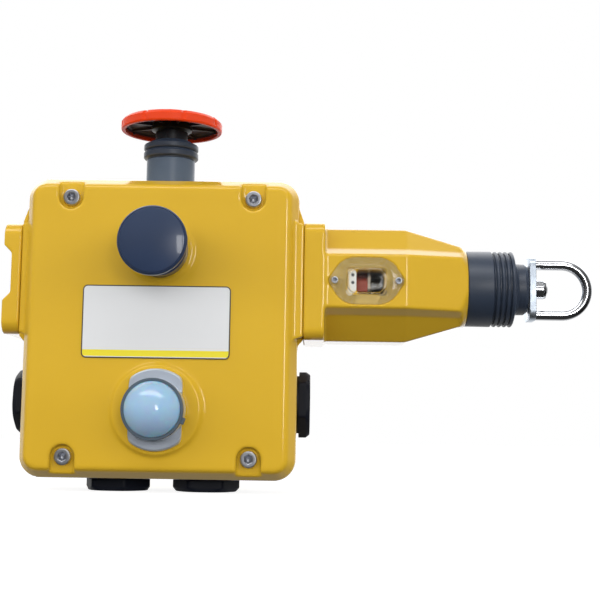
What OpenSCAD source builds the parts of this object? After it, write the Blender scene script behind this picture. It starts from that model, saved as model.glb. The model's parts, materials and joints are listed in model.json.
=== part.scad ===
// Rope pull switch: a cast box with a rope arm, a stop mushroom, a reset button and a beacon.
// X runs along the rope towards its eye, Z points up and the lid faces -Y.
// The origin lies on the mounting plane, straight behind the rope axis.

/* [Box] */
// Width of the box, wall to wall
box_w = 140.4; // [134:1:160]
// Height of the box
box_h = 153.5; // [148:1:176]
// Depth from the mounting plane to the lid joint
body_d = 54.5; // [53:0.5:60]
// Distance of the box centre below the rope axis
drop = 25; // [22:0.5:28]
// Thickness of the side walls
wall = 4.5; // [3.5:0.1:6]
// Thickness of the back wall
floor_t = 5; // [4:0.1:7]
// Corner radius of the box outline
corner_r = 11; // [9:0.5:18]
// Distance of the rope axis in front of the mounting plane
axis_d = 32; // [31:0.5:33]

/* [Lid] */
// Depth of the lid from the joint to its face
lid_d = 10; // [9:0.5:14]
// Thickness of the lid's front wall
lid_wall = 4; // [3:0.1:5]
// Inset of the lid's face from the box outline, which makes its sloped border
lid_slope = 4.8; // [3:0.1:6]
// Distance between the lid screws across the lid
lid_screw_w = 93.4; // [84:0.2:100]
// Distance of the lid screws from the top and bottom edges
lid_screw_edge = 10.7; // [9:0.1:11]
// Diameter of the lid screws
lid_screw_d = 5; // [4:0.1:6]
// Head diameter of the lid screws
lid_head_d = 8.5; // [7.5:0.1:9.5]
// Width of the open recess round each lid screw
lid_recess_w = 12.3; // [11.5:0.1:14]
// Thickness of the lid gasket
gasket_t = 1.5; // [1:0.1:2]

/* [Side flanges] */
// How far the side pads stand out from the box
pad_t = 2.8; // [2:0.1:5]
// Size of the square arm flange
flange_w = 60.4; // [59.5:0.1:61]
// Thickness of the arm flange
flange_t = 10.7; // [9:0.1:12]
// Thickness of the end cover on the other side
cover_t = 9; // [8:0.1:11]
// Radius of the spigots that centre the arm and the end cover
spigot_r = 19; // [18:0.1:19.4]
// Length of the spigots
spigot_l = 10; // [9:0.1:12]
// Offset of the flange screws from the rope axis, both ways
flange_screw_at = 17; // [16.8:0.1:17.3]

/* [Arm] */
// Size of the arm across its flats
arm_w = 59.2; // [58:0.1:60]
// Half the width of the arm's front flat
arm_flat = 15.2; // [13:0.1:16]
// Length of the straight octagonal part
arm_l = 42; // [40:0.5:50]
// Length of the taper
taper_l = 32.3; // [28:0.1:40]
// Radius of the round nose
nose_r = 20.4; // [20.3:0.1:22]
// Radius of the chamber behind the window
chamber_r = 20; // [18:0.1:21]

/* [Window] */
// Distance of the window's centre from the arm flange
window_at = 21.2; // [20.5:0.1:22]
// Width of the sight opening
sight_w = 19; // [16:0.1:20]
// Height of the sight opening
sight_h = 12.8; // [10:0.1:14]
// Height of the lozenge cover
window_h = 24.5; // [22:0.1:25.5]
// Half length of the lozenge cover
window_l = 19.4; // [18:0.1:20]
// Thickness of the clear wall
window_t = 1.8; // [1.2:0.1:2.4]

/* [Pull rod] */
// Diameter of the pull rod
rod_d = 10; // [9:0.1:11]
// Travel of the pull rod
rod_travel = 14; // [8:0.5:14]
// Outer diameter of the main spring
spring_d = 26; // [24:0.1:27]
// Wire diameter of the main spring
spring_wire = 3.2; // [2.4:0.1:3.6]
// Active turns of the main spring
spring_turns = 7; // [4:1:8]
// Thread diameter of the rod's end
stud_d = 6; // [5:0.1:7]

/* [Boot and rope eye] */
// Outer diameter of the rubber boot
boot_d = 40; // [36:0.1:40.4]
// Outer diameter of the boot's neck
neck_d = 27.2; // [24:0.1:30]
// Wall of the boot
boot_t = 2.2; // [1.6:0.1:2.8]
// Number of ribs on the boot
boot_ribs = 4; // [3:1:5]
// Height of the eye plate
plate_h = 33.6; // [32:0.1:36]
// Depth of the eye plate
plate_w = 20; // [14:0.1:22]
// Thickness of the eye plate
plate_t = 3.5; // [2.5:0.1:5]
// Rod diameter of the rope eye
eye_rod_d = 5.5; // [4.5:0.1:6]
// Distance between the centres of the eye's two legs
eye_w = 26.8; // [24:0.1:27.5]
// Length of the eye beyond the plate, to the outside of its bend
eye_l = 31; // [28:0.1:38]

/* [Stop mushroom] */
// Diameter of the mushroom
cap_d = 54.2; // [44:0.2:60]
// Height of the mushroom's rim
cap_rim = 5.3; // [4:0.1:7]
// Height of the mushroom's crown over its rim
cap_crown = 5.6; // [4:0.1:9]
// Height of the rim's lower edge above the box
cap_at = 31.4; // [30:0.1:36]
// Number of grip grooves
cap_grooves = 8; // [4:1:12]
// Diameter of the guide sleeve
sleeve_d = 25.8; // [24:0.1:27]
// Height of the guide sleeve above the box
sleeve_h = 15.3; // [14:0.1:17]
// Travel of the mushroom
stop_travel = 6; // [3:0.5:7]

/* [Label] */
// Width of the label
label_w = 75; // [60:0.5:80]
// Height of the label
label_h = 37; // [30:0.5:38]
// Distance of the label's centre below the rope axis
label_drop = 22.8; // [22:0.1:23.5]
// Thickness of the label
label_t = 0.5; // [0.2:0.1:0.8]

/* [Reset button] */
// Height of the button's axis above the rope axis
reset_z = 13.9; // [13.5:0.1:14.5]
// Diameter of the button's head
reset_d = 34.1; // [30:0.1:38]
// Distance of the button's front from the lid's face
reset_l = 35.5; // [32:0.5:42]
// Travel of the button
reset_travel = 5; // [3:0.5:6]

/* [Beacon] */
// Distance of the beacon below the rope axis
beacon_drop = 67; // [66:0.5:68]
// Diameter of the dome
dome_d = 27.8; // [24:0.1:29]
// Height of the dome
dome_h = 8; // [6:0.1:12]
// Distance of the dome's foot from the lid's face
beacon_l = 16.2; // [14:0.1:20]
// Diameter of the raised ring on the lid
boss_d = 48; // [47:0.1:52]

/* [Entries and mounting] */
// Diameter of the conduit entries
entry_d = 25; // [20:0.1:25.4]
// Distance between the two lower entries
entry_gap = 46.2; // [44:0.1:48]
// Distance of the side entries below the rope axis
entry_drop = 62.5; // [61:0.5:64]
// Size of the plug heads across the flats
plug_w = 30.7; // [27:0.1:31]
// Height of the plug heads
plug_h = 6.6; // [5:0.1:9]
// Distance between the mounting holes along the rope
mount_w = 100; // [98:0.5:102]
// Distance between the mounting holes across the rope
mount_h = 60; // [58:0.5:64]
// Core diameter of the mounting threads
mount_d = 5; // [4:0.1:6.4]
// Depth of the mounting holes
mount_l = 11; // [8:0.5:13]

/* [Fits] */
// Radial clearance of running parts
run = 0.05; // [0.02:0.01:0.1]
// Gap between parts that only face each other
gap = 0.2; // [0.1:0.05:0.4]

/* [Hidden] */
$fn = 64;

// Box and lid
box_top = box_h / 2 - drop;
box_bottom = -box_h / 2 - drop;
side_x = box_w / 2;
pad_x = side_x + pad_t;
face_d = body_d + lid_d;
inner_face_d = face_d - lid_wall;
lid_screw_z = box_h / 2 - lid_screw_edge;
pillar_r = lid_screw_d / 2 + 3.5;
head_h = 2.8;
lid_socket_w = 4;
recess_d = 4;
recess_floor_d = face_d - recess_d;
lid_hole_d = floor_t + 10;
label_x = -1.2;
label_r = 2.5;
gasket_w = 2;
pad_low = 33;
pad_high = 38;
pad_back = 3;

// Side flanges
flange_x = pad_x + flange_t;
flange_r = 6;
cover_x = pad_x + cover_t;
cover_h = 57.6;
cover_front = 25;
cover_back = 22;
cover_r = 7;
notch_mouth = 28.6;
notch_floor = 20.6;
notch_z = 2.6;
notch_d = 4;
bush_wall = 4;
screw_r = 2.5;
socket_head_r = 4.2;
socket_head_h = 5;
ring_wire = 1.8;

// Arm
straight_x = flange_x + arm_l;
nose_x = straight_x + taper_l;
nose_l = 5;
chamber_x0 = flange_x + 2.3;
chamber_x1 = straight_x + 8;
abutment_t = 6;
spring_bore_r = spring_d / 2 + 1;
edge_r = 5.5;

// Window
window_x = flange_x + window_at;
pocket_d = 1.6;
front_d = axis_d + arm_w / 2;
pocket_floor_d = front_d - pocket_d;
gasket_sheet = 0.8;
dome_rise = 2.6;
lobe_r = 3.2;
window_screw_r = 1.2;
shelf_d = 2.5;
shelf_w = 4.6;
scale_t = 1;

// Rod, from its tail in the end cover to the stud that holds the rope eye
rod_r = rod_d / 2;
bush_r = rod_r + bush_wall;
bush_l = 18;
rear_bush_l = rod_travel + 4;
tail_x = -pad_x - 1.5;
boot_l = 32.9;
boot_gap = 0.6;
sleeve_l = boot_l * 0.41;
ribs_l = boot_l / 3;
plate_x = nose_x + boot_l;
rod_end_x = plate_x - gap;
stud_r = stud_d / 2;
stud_root = 2;
nut_h = 6.5;
stud_end_x = plate_x + plate_t + gap + nut_h + 0.5;
abutment_x = chamber_x0 - abutment_t;
boot_rib_d = 1.5;
boot_inner_r = boot_d / 2 - boot_rib_d - boot_t;
boot_seat_l = 4;
seat_x = abutment_x - 46;
seat_t = 4;
seat_collar = 3;
flag_l = 9;
flag_x = window_x - 7.9;
stripe_l = 1.4;

// Contacts
plunger_r = 2.5;
plunger_xs = [-18, 10];
ramp_slope = 0.25;
ramp_z = -8;
ramp_back = 17;
ramp_front = 3;
cam_x0 = min(plunger_xs) - ramp_back - 3;
cam_x1 = max(plunger_xs) + ramp_front + 2;
cam_bottom = -12.5;
cam_top = rod_r + 2;
cam_half = 8;
tip_z = ramp_z - (plunger_r + 0.15) * sqrt(1 + ramp_slope * ramp_slope);
block_top = -16;
block_h = 30;
block_w = 24;
stand_d = 11;
sheet_t = 3;
block_back_d = stand_d + sheet_t;
block_front_d = 46;
sheet_w = 84;
sheet_top = 38;
sheet_bottom = block_top - block_h - 4;
sheet_screw_x = 36;
sheet_screw_zs = [sheet_top - 7, sheet_bottom + 7];
latch_w = 26;
strip_pitch = 9;
strip_h = 17;
strip_t = 20;
strip_z = -entry_drop - 3;
strip_screw_d = floor_t + strip_t - 3;
earth_x = 48;
earth_z = -lid_screw_z - drop + pillar_r + 8.5;
latch_bottom = cam_top + 1.6;

// Stop mushroom, along the vertical through the rope axis
top_boss_h = 1.5;
sleeve_top = box_top + sleeve_h;
shank_r = 11;
inner_top = box_top - wall;
shank_bottom = inner_top - 7;
stem_r = 5;
stop_spring_r = 8.4;
guide_floor = inner_top;
hub_bottom = sleeve_top - 0.5;
hub_r = 8.6;
hub_top_r = 10.2;
bellows_h = 10.6;
cap_z = box_top + cap_at;
cap_r = cap_d / 2;
cap_wall = 2.4;
hub_top = cap_z + cap_rim - cap_wall + 1;
nut_w = 28;
nut_t = 4;

// Reset button, along the lid's normal
reset_pad_r = 16.5;
reset_pad_h = 0.8;
reset_seat_d = face_d + reset_pad_h;
reset_front_d = face_d + reset_l;
reset_head_t = 6.5;
neck_r = 10.5;
bezel_r = 13;
bezel_front_d = face_d + 9.5;
neck_back_d = bezel_front_d - 2;
reset_floor_d = face_d - 2.5;
reset_shank_back_d = inner_face_d - 6.5;
reset_shaft_r = 4;
reset_shaft_back_d = 44;

// Beacon
boss_h = 2;
boss_d_front = face_d + boss_h;
dome_r = dome_d / 2;
dome_foot_d = face_d + beacon_l;
base_r = 20.7;
base_half_w = 13.3;
base_t = 3;
seal_t = 1.5;
seal_h = 3;
beacon_ring_r = dome_r + seal_t;
beacon_ring_d = dome_foot_d - seal_h;
tab_w = 3.4;
tab_l = 1.6;
tab_turn = -20;
board_t = 1.6;

// Entries
entry_r = entry_d / 2;
entry_boss_r = entry_r + 3.5;
entry_boss_l = 5;
shank_l = 12;
seal_ring_t = 0.8;

// ---- Places ----

// Draws along the rope: local X is Y, local Y is Z and local Z runs towards the eye.
module along_rope(x) {
    translate([x, -axis_d, 0]) rotate([90, 0, 90]) children();
}

// Draws on the front: local X is X, local Y is Z and local Z runs out of the lid.
module to_front(x, d, z) {
    translate([x, -d, z]) rotate([90, 0, 0]) children();
}

// Draws upright on the rope axis.
module upright(x, z) {
    translate([x, -axis_d, z]) children();
}

// Copies the children to the four lid screws.
module at_lid_screws() {
    for (x = [-1, 1], z = [-1, 1])
        translate([x * lid_screw_w / 2, 0, z * lid_screw_z - drop]) children();
}

// Copies the children to the four flange screws, seen along the rope.
module at_flange_screws() {
    for (u = [-1, 1], v = [-1, 1])
        translate([u * flange_screw_at, v * flange_screw_at, 0]) children();
}

// Copies the children to the four conduit entries, with local Z pointing out of the box.
module at_entries() {
    for (s = [-1, 1]) {
        translate([s * entry_gap / 2, -axis_d, box_bottom]) rotate([180, 0, 0])
            rotate([0, 0, 3.7 - s * 6.7]) children();
        translate([s * side_x, -axis_d, -entry_drop]) rotate([0, s * 90, 0])
            rotate([0, 0, -s * 8.3]) children();
    }
}

// ---- Shapes ----

// Rectangle with round corners.
module rounded(w, h, r) {
    square([w - 2 * r, h], center = true);
    square([w, h - 2 * r], center = true);
    for (x = [-1, 1], y = [-1, 1])
        translate([x * (w / 2 - r), y * (h / 2 - r)]) circle(r);
}

// Tube standing on Z = 0.
module tube(outer, inner, h) {
    difference() {
        cylinder(r = outer, h = h);
        translate([0, 0, -1]) cylinder(r = inner, h = h + 2);
    }
}

// Hexagon prism with its corners turned off at the outer end.
module hex_head(w, h) {
    intersection() {
        cylinder(d = w / cos(30), h = h, $fn = 6);
        cylinder(r1 = w / 2 / cos(30) + h - 2.2, r2 = w / 2 / cos(30) - 2.2, h = h);
    }
}

// Hexagon nut standing on Z = 0.
module hex_nut(w, inner, h) {
    difference() {
        cylinder(d = w / cos(30), h = h, $fn = 6);
        translate([0, 0, -1]) cylinder(r = inner, h = h + 2);
    }
}

// Round screw whose head stands on Z = 0 with a hexagon socket in it; the shank runs down.
module screw(r, l, head_r, h, socket_w) {
    translate([0, 0, -l]) cylinder(r = r, h = l);
    difference() {
        union() {
            cylinder(r = head_r, h = h * 0.7);
            translate([0, 0, h * 0.7]) cylinder(r1 = head_r, r2 = head_r * 0.8, h = h * 0.3);
        }
        translate([0, 0, h * 0.35]) cylinder(d = socket_w / cos(30), h = h, $fn = 6);
    }
}

// Stack of rings and links that stands for a coil spring of length l.
module coil(outer, wire, l, turns) {
    pitch = (l - wire) / turns;
    mid = outer - wire / 2;
    steps = 12;
    rings = [for (i = [0 : turns * steps]) i];
    sides = 6;
    points = [
        for (i = rings, j = [0 : sides - 1])
            let (a = 360 * i / steps, b = 360 * j / sides, r = mid + wire / 2 * cos(b))
            [r * cos(a), r * sin(a), wire / 2 + pitch * i / steps + wire / 2 * sin(b)]
    ];
    walls = [
        for (i = [0 : turns * steps - 1], j = [0 : sides - 1])
            let (n = (j + 1) % sides)
            [i * sides + j, (i + 1) * sides + j, (i + 1) * sides + n, i * sides + n]
    ];
    start = [for (j = [0 : sides - 1]) j];
    end = [for (j = [sides - 1 : -1 : 0]) turns * steps * sides + j];
    polyhedron(points, concat(walls, [start], [end]), convexity = 6);
}

// Octagon of the arm with its corners rounded. Its front and back flats keep their width in every size.
module arm_section(half) {
    far = half - edge_r;
    near = arm_flat - edge_r * tan(22.5);
    hull() for (u = [-1, 1], v = [-1, 1]) {
        translate([u * far, v * near]) circle(edge_r, $fn = 32);
        translate([u * near, v * far]) circle(edge_r, $fn = 32);
    }
}

// Lozenge outline of the window, shrunk all round by an inset.
module lozenge(inset) {
    hull() {
        for (s = [-1, 1]) {
            translate([s * (window_l - lobe_r), 0]) circle(lobe_r - inset, $fn = 32);
            translate([s * 5.5, 0]) circle(window_h / 2 - inset, $fn = 48);
        }
    }
}

// ---- Box ----

module body_shell() {
    difference() {
        to_front(0, 0, -drop) linear_extrude(body_d) rounded(box_w, box_h, corner_r);
        to_front(0, floor_t, -drop) linear_extrude(body_d)
            rounded(box_w - 2 * wall, box_h - 2 * wall, corner_r - wall);
    }
    for (s = [0, 1]) mirror([s, 0, 0])
        to_front(0, pad_back, 0) linear_extrude(body_d - pad_back) polygon([
            [side_x - wall / 2, -pad_low], [side_x, -pad_low], [pad_x, -flange_w / 2],
            [pad_x, flange_w / 2], [side_x, pad_high], [side_x - wall / 2, pad_high]
        ]);
}

module body_bosses() {
    at_lid_screws() to_front(0, floor_t / 2, 0) cylinder(r = pillar_r, h = body_d - floor_t / 2);
    for (x = [-1, 1], z = [-1, 1])
        to_front(x * mount_w / 2, 0, z * mount_h / 2) cylinder(r = 7, h = mount_l + 3);
    for (x = [-1, 1], z = sheet_screw_zs)
        to_front(x * sheet_screw_x, 0, z) cylinder(r = 4, h = stand_d);
    to_front(earth_x, 0, earth_z) cylinder(r = 5, h = floor_t + 5);
    at_entries() translate([0, 0, -wall - entry_boss_l])
        cylinder(r = entry_boss_r, h = entry_boss_l + wall / 2);
    upright(0, box_top - wall / 2) cylinder(r = sleeve_d / 2 + 3.5, h = wall / 2 + top_boss_h);
}

module body() {
    color("gold") difference() {
        union() {
            body_shell();
            body_bosses();
        }
        at_lid_screws() to_front(0, lid_hole_d, 0) cylinder(r = lid_screw_d / 2, h = body_d);
        for (s = [-1, 1]) along_rope(s > 0 ? side_x - wall - 1 : -pad_x - 1) {
            cylinder(r = spigot_r + run, h = wall + pad_t + 2);
            at_flange_screws() cylinder(r = screw_r + 0.25, h = wall + pad_t + 2);
        }
        for (x = [-1, 1], z = [-1, 1])
            to_front(x * mount_w / 2, -1, z * mount_h / 2) cylinder(d = mount_d, h = mount_l + 1);
        for (x = [-1, 1], z = sheet_screw_zs)
            to_front(x * sheet_screw_x, floor_t, z) cylinder(r = 1.9, h = stand_d);
        to_front(earth_x, floor_t / 2, earth_z) cylinder(r = 1.9, h = floor_t + 8);
        at_entries() translate([0, 0, -wall - entry_boss_l - 1])
            cylinder(r = entry_r, h = wall + entry_boss_l + 2);
        upright(0, inner_top - 1) cylinder(r = shank_r + run, h = wall + top_boss_h + 2);
        gasket_groove();
    }
}

module gasket_ring(w, d, t) {
    to_front(0, d, -drop) linear_extrude(t) difference() {
        rounded(box_w - wall + w, box_h - wall + w, corner_r - wall / 2 + w / 2);
        rounded(box_w - wall - w, box_h - wall - w, corner_r - wall / 2 - w / 2);
    }
}

module gasket_groove() {
    gasket_ring(gasket_w + 0.2, body_d - gasket_t, gasket_t + 1);
}

module lid_gasket() {
    color("dimgray") gasket_ring(gasket_w, body_d - gasket_t, gasket_t);
}

// Outer form of the lid: a plain edge at the joint, a sloped border and a rounded rim.
module lid_form() {
    layers = [[0, 0], [1.2, 0], [lid_d - 1.6, lid_slope * 0.78], [lid_d - 0.5, lid_slope],
        [lid_d, lid_slope + 1.1]];
    hull() for (l = layers)
        to_front(0, body_d + min(l[0], lid_d - 0.02), -drop) linear_extrude(0.02)
            hull() for (x = [-1, 1], z = [-1, 1])
                translate([x * (side_x - corner_r), z * (box_h / 2 - corner_r)])
                    circle(corner_r - l[1], $fn = 40);
}

// Inside of the lid, with a post left standing at each screw.
module lid_hollow() {
    difference() {
        to_front(0, body_d - 1, -drop) linear_extrude(lid_d - lid_wall + 1)
            rounded(box_w - 2 * wall - 2 * lid_slope, box_h - 2 * wall - 2 * lid_slope, 6);
        at_lid_screws() to_front(0, body_d - 2, 0) cylinder(r = lid_recess_w / 2 + 2, h = lid_d);
    }
}

// Pads on the lid's sides, which carry on the pads of the box up to the front of what is bolted there.
module lid_pads() {
    for (s = [-1, 1]) {
        half = s > 0 ? flange_w / 2 - 1.2 : cover_h / 2 - 0.8;
        front = s > 0 ? flange_w / 2 - 1.2 : cover_front - 0.5;
        to_front(0, body_d, 0) linear_extrude(axis_d + front - body_d) polygon([
            [s * (side_x - wall), -half - 2], [s * (pad_x - gap), -half],
            [s * (pad_x - gap), half], [s * (side_x - wall), half + 2]
        ]);
    }
}

module lid() {
    color("gold") difference() {
        union() {
            lid_pads();
            difference() {
                lid_form();
                lid_hollow();
            }
            to_front(0, inner_face_d, reset_z) cylinder(r = reset_pad_r, h = lid_wall + reset_pad_h);
            to_front(0, face_d - 1, -beacon_drop)
                cylinder(d1 = boss_d + 1, d2 = boss_d - 3.4, h = boss_h + 1);
        }
        at_lid_screws() to_front(0, body_d - 1, 0) cylinder(r = lid_screw_d / 2 + 0.25, h = lid_d);
        for (x = [-1, 1], z = [-1, 1])
            to_front(x * lid_screw_w / 2, recess_floor_d, z * lid_screw_z - drop) {
                cylinder(d = lid_recess_w, h = lid_d);
                translate([-lid_recess_w / 2, min(z, 0) * (lid_screw_edge + 1), 0])
                    cube([lid_recess_w, lid_screw_edge + 1, lid_d]);
            }
        to_front(0, body_d, reset_z) cylinder(r = shank_r + run, h = lid_d + 4);
        to_front(0, body_d, -beacon_drop) cylinder(r = base_half_w - 1.3 + run, h = lid_d + 4);
    }
}

module lid_screws() {
    color("silver") at_lid_screws() to_front(0, recess_floor_d, 0)
        screw(lid_screw_d / 2 - run, recess_floor_d - lid_hole_d - 2,
            lid_head_d / 2, head_h, lid_socket_w);
}

module label_plate() {
    color("white") to_front(label_x, face_d, -label_drop) linear_extrude(label_t)
        rounded(label_w, label_h, label_r);
}

// ---- End cover ----

module end_cover() {
    color("gold") difference() {
        union() {
            difference() {
                along_rope(-cover_x) linear_extrude(cover_t)
                    translate([(cover_back - cover_front) / 2, 0])
                        rounded(cover_front + cover_back, cover_h, cover_r);
                to_front(0, 0, notch_z) linear_extrude(axis_d * 2) polygon([
                    [-cover_x - 1, -notch_mouth / 2 - 1], [-cover_x + notch_d, -notch_floor / 2],
                    [-cover_x + notch_d, notch_floor / 2], [-cover_x - 1, notch_mouth / 2 + 1]
                ]);
            }
            along_rope(-pad_x) difference() {
                cylinder(r = spigot_r, h = spigot_l);
                translate([0, 0, spigot_l / 2]) cylinder(r = spigot_r - 3, h = spigot_l);
            }
            along_rope(-pad_x) cylinder(r = bush_r + 3, h = rear_bush_l - 4);
        }
        along_rope(-pad_x - 2) cylinder(r = bush_r, h = rear_bush_l + 3);
        along_rope(-pad_x - cover_t + notch_d + 0.5) at_flange_screws()
            cylinder(r = screw_r, h = cover_t);
        along_rope(-pad_x + 1) o_ring_groove();
    }
}

module o_ring_groove() {
    difference() {
        cylinder(r = spigot_r + 1, h = ring_wire + 0.4);
        translate([0, 0, -1]) cylinder(r = spigot_r + run - ring_wire, h = ring_wire + 3);
    }
}

module o_ring() {
    translate([0, 0, ring_wire / 2 + 0.2]) rotate_extrude()
        translate([spigot_r + run - ring_wire / 2, 0]) circle(d = ring_wire, $fn = 24);
}

module end_o_ring() {
    color("black") along_rope(-pad_x + 1) o_ring();
}

module end_cover_screws() {
    color("silver") along_rope(-side_x + wall) at_flange_screws()
        screw(screw_r - run, wall + pad_t + cover_t - notch_d - 0.5, socket_head_r, socket_head_h, 4);
}

module bush(l) {
    tube(bush_r - run, rod_r + run, l);
}

module rear_bush() {
    color("peru") along_rope(-pad_x - 2) bush(rear_bush_l);
}

// ---- Arm ----

module arm_form() {
    along_rope(pad_x) linear_extrude(flange_t) rounded(flange_w, flange_w, flange_r);
    along_rope(flange_x - 1) linear_extrude(arm_l + 1) arm_section(arm_w / 2);
    hull() {
        along_rope(straight_x) linear_extrude(0.01) arm_section(arm_w / 2);
        along_rope(nose_x - nose_l) linear_extrude(0.01) arm_section(nose_r + 1);
    }
    hull() {
        along_rope(nose_x - nose_l) linear_extrude(0.01) arm_section(nose_r + 1);
        along_rope(nose_x - 1) cylinder(r = nose_r, h = 1);
    }
    along_rope(pad_x - spigot_l) cylinder(r = spigot_r, h = spigot_l);
    along_rope(nose_x) cylinder(r = boot_inner_r - run, h = boot_seat_l);
}

module arm_housing() {
    color("gold") difference() {
        arm_form();
        along_rope(pad_x - spigot_l - 1)
            cylinder(r = spring_bore_r, h = abutment_x - pad_x + spigot_l + 1);
        along_rope(pad_x) cylinder(r = rod_r + 0.5, h = arm_l);
        along_rope(chamber_x0) cylinder(r = chamber_r, h = chamber_x1 - chamber_x0);
        along_rope(chamber_x1 - 1) cylinder(r = bush_r, h = taper_l);
        along_rope(pad_x - 1) at_flange_screws() cylinder(r = screw_r, h = flange_t - 2);
        along_rope(pad_x - 1 - ring_wire - 0.4) o_ring_groove();
        to_front(window_x, pocket_floor_d, 0) linear_extrude(pocket_d + 2) lozenge(0);
        to_front(window_x, pocket_floor_d - shelf_d, 0) linear_extrude(shelf_d + 1)
            rounded(sight_w, sight_h, 2.5);
        to_front(window_x + shelf_w / 2, axis_d, 0) linear_extrude(arm_w / 2)
            rounded(sight_w - shelf_w, sight_h, 2);
        for (s = [-1, 1]) to_front(window_x + s * (window_l - lobe_r), pocket_floor_d - 6, 0)
            cylinder(r = window_screw_r, h = 7);
    }
}

module arm_o_ring() {
    color("black") along_rope(pad_x - 1 - ring_wire - 0.4) o_ring();
}

module arm_screws() {
    color("silver") along_rope(side_x - wall) mirror([0, 0, 1]) at_flange_screws()
        screw(screw_r - run, wall + pad_t + flange_t - 4, socket_head_r, socket_head_h, 4);
}

module nose_bush() {
    color("peru") along_rope(nose_x - bush_l) bush(bush_l);
}

// ---- Window ----

module window_gasket() {
    color("wheat") to_front(window_x, pocket_floor_d, 0) difference() {
        linear_extrude(gasket_sheet) lozenge(0.3);
        translate([0, 0, -1]) linear_extrude(3) rounded(sight_w + 1, sight_h + 1, 3);
        for (s = [-1, 1]) translate([s * (window_l - lobe_r), 0, -1]) cylinder(r = 1.7, h = 3);
    }
}

module window_cover() {
    color([0.85, 0.9, 0.92, 0.4]) to_front(window_x, pocket_floor_d + gasket_sheet, 0) difference() {
        union() {
            linear_extrude(window_t) lozenge(0.3);
            hull() {
                linear_extrude(window_t + 0.6) rounded(sight_w + 8, sight_h + 7.2, 9);
                linear_extrude(window_t + dome_rise) rounded(sight_w + 3, sight_h + 2.6, 6.5);
            }
        }
        translate([0, 0, -1]) linear_extrude(dome_rise + 1) rounded(sight_w, sight_h, 5);
        for (s = [-1, 1]) translate([s * (window_l - lobe_r), 0, -1])
            cylinder(r = window_screw_r + 0.2, h = 6);
    }
}

module window_screws() {
    color("dimgray") for (s = [-1, 1])
        to_front(window_x + s * (window_l - lobe_r), pocket_floor_d + gasket_sheet + window_t, 0)
            screw(window_screw_r - run, gasket_sheet + window_t + 5, 1.8, 1.5, 1.5);
}

module tension_scale() {
    color("white") to_front(window_x - (sight_w - shelf_w) / 2, pocket_floor_d - shelf_d, 0)
        linear_extrude(scale_t) rounded(shelf_w - 0.4, sight_h - 0.6, 2);
}

// ---- Pull rod and what rides on it ----

module pull_rod() {
    color("lightsteelblue") along_rope(0) {
        translate([0, 0, tail_x]) cylinder(r = rod_r, h = rod_end_x - tail_x);
        translate([0, 0, seat_x - seat_t]) cylinder(r = rod_r + seat_collar, h = seat_t);
        translate([0, 0, rod_end_x - stud_root]) cylinder(r = stud_r, h = stud_end_x - rod_end_x + stud_root);
    }
}

module spring_seat() {
    color("silver") along_rope(seat_x) tube(spring_d / 2 + 0.5, rod_r + run, seat_t);
}

module main_spring() {
    color("silver") along_rope(seat_x + seat_t + gap)
        coil(spring_d / 2, spring_wire, abutment_x - seat_x - seat_t - 2 * gap, spring_turns);
}

module tension_flag() {
    color("firebrick") along_rope(flag_x) difference() {
        union() {
            cylinder(r = rod_r + 2.6, h = flag_l);
            translate([-chamber_r + 3.5, -4.5, 0]) cube([chamber_r - 3.5, 7, flag_l]);
        }
        translate([0, 0, -1]) cylinder(r = rod_r + run, h = flag_l + 2);
    }
}

module flag_stripe() {
    color("white") along_rope(flag_x + flag_l) difference() {
        union() {
            cylinder(r = rod_r + 2.6, h = stripe_l);
            translate([-chamber_r + 3.2, -3, 0]) cube([chamber_r - 3.2, 7, stripe_l]);
        }
        translate([0, 0, -1]) cylinder(r = rod_r + run, h = stripe_l + 2);
    }
}

module contact_cam() {
    color("whitesmoke") difference() {
        to_front(0, axis_d - cam_half, 0) linear_extrude(2 * cam_half) difference() {
            polygon([[cam_x0, cam_bottom], [cam_x1, cam_bottom], [cam_x1, cam_top], [cam_x0, cam_top]]);
            for (x = plunger_xs) polygon([
                [x + ramp_front, cam_bottom - 1],
                [x + ramp_front, ramp_z + ramp_slope * ramp_front],
                [x - ramp_back, ramp_z - ramp_slope * ramp_back],
                [x - ramp_back, cam_bottom - 1]
            ]);
        }
        along_rope(cam_x0 - 1) cylinder(r = rod_r + run, h = cam_x1 - cam_x0 + 2);
    }
}

// Rubber boot: a plain sleeve, ribs and a neck that closes on the rod.
module rod_boot() {
    r = boot_d / 2;
    rib = ribs_l / boot_ribs;
    ribs_end = sleeve_l + ribs_l;
    neck_end = boot_l - boot_gap;
    top = concat(
        [[0, r], [sleeve_l, r]],
        [for (i = [0 : boot_ribs - 1]) each [
            [sleeve_l + i * rib + 0.3, r - boot_rib_d], [sleeve_l + i * rib + 1.1, r - boot_rib_d],
            [sleeve_l + i * rib + 1.5, r], [sleeve_l + (i + 1) * rib - 0.2, r]
        ]],
        [[ribs_end + 1.4, neck_d / 2 + 0.6], [ribs_end + 2, neck_d / 2],
         [neck_end - 1.4, neck_d / 2], [neck_end, neck_d / 2 - 1.2]]
    );
    inside = [
        [neck_end, rod_r + 0.2], [neck_end - 1.4 - boot_t, rod_r + 0.2],
        [neck_end - 1.4 - boot_t, neck_d / 2 - boot_t], [ribs_end, neck_d / 2 - boot_t],
        [ribs_end - 2, boot_inner_r], [0, boot_inner_r]
    ];
    color("darkslategray") along_rope(nose_x) rotate_extrude()
        polygon([for (p = concat(top, inside)) [p[1], p[0]]]);
}

// ---- Rope eye ----

module eye_plate() {
    color("silver") along_rope(plate_x) difference() {
        linear_extrude(plate_t) rounded(plate_w, plate_h, min(5, plate_w / 3));
        translate([0, 0, -1]) cylinder(r = stud_r + run, h = plate_t + 2);
        for (s = [-1, 1]) translate([0, s * eye_w / 2, -1])
            cylinder(d = eye_rod_d + 2 * run, h = plate_t + 2);
    }
}

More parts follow.
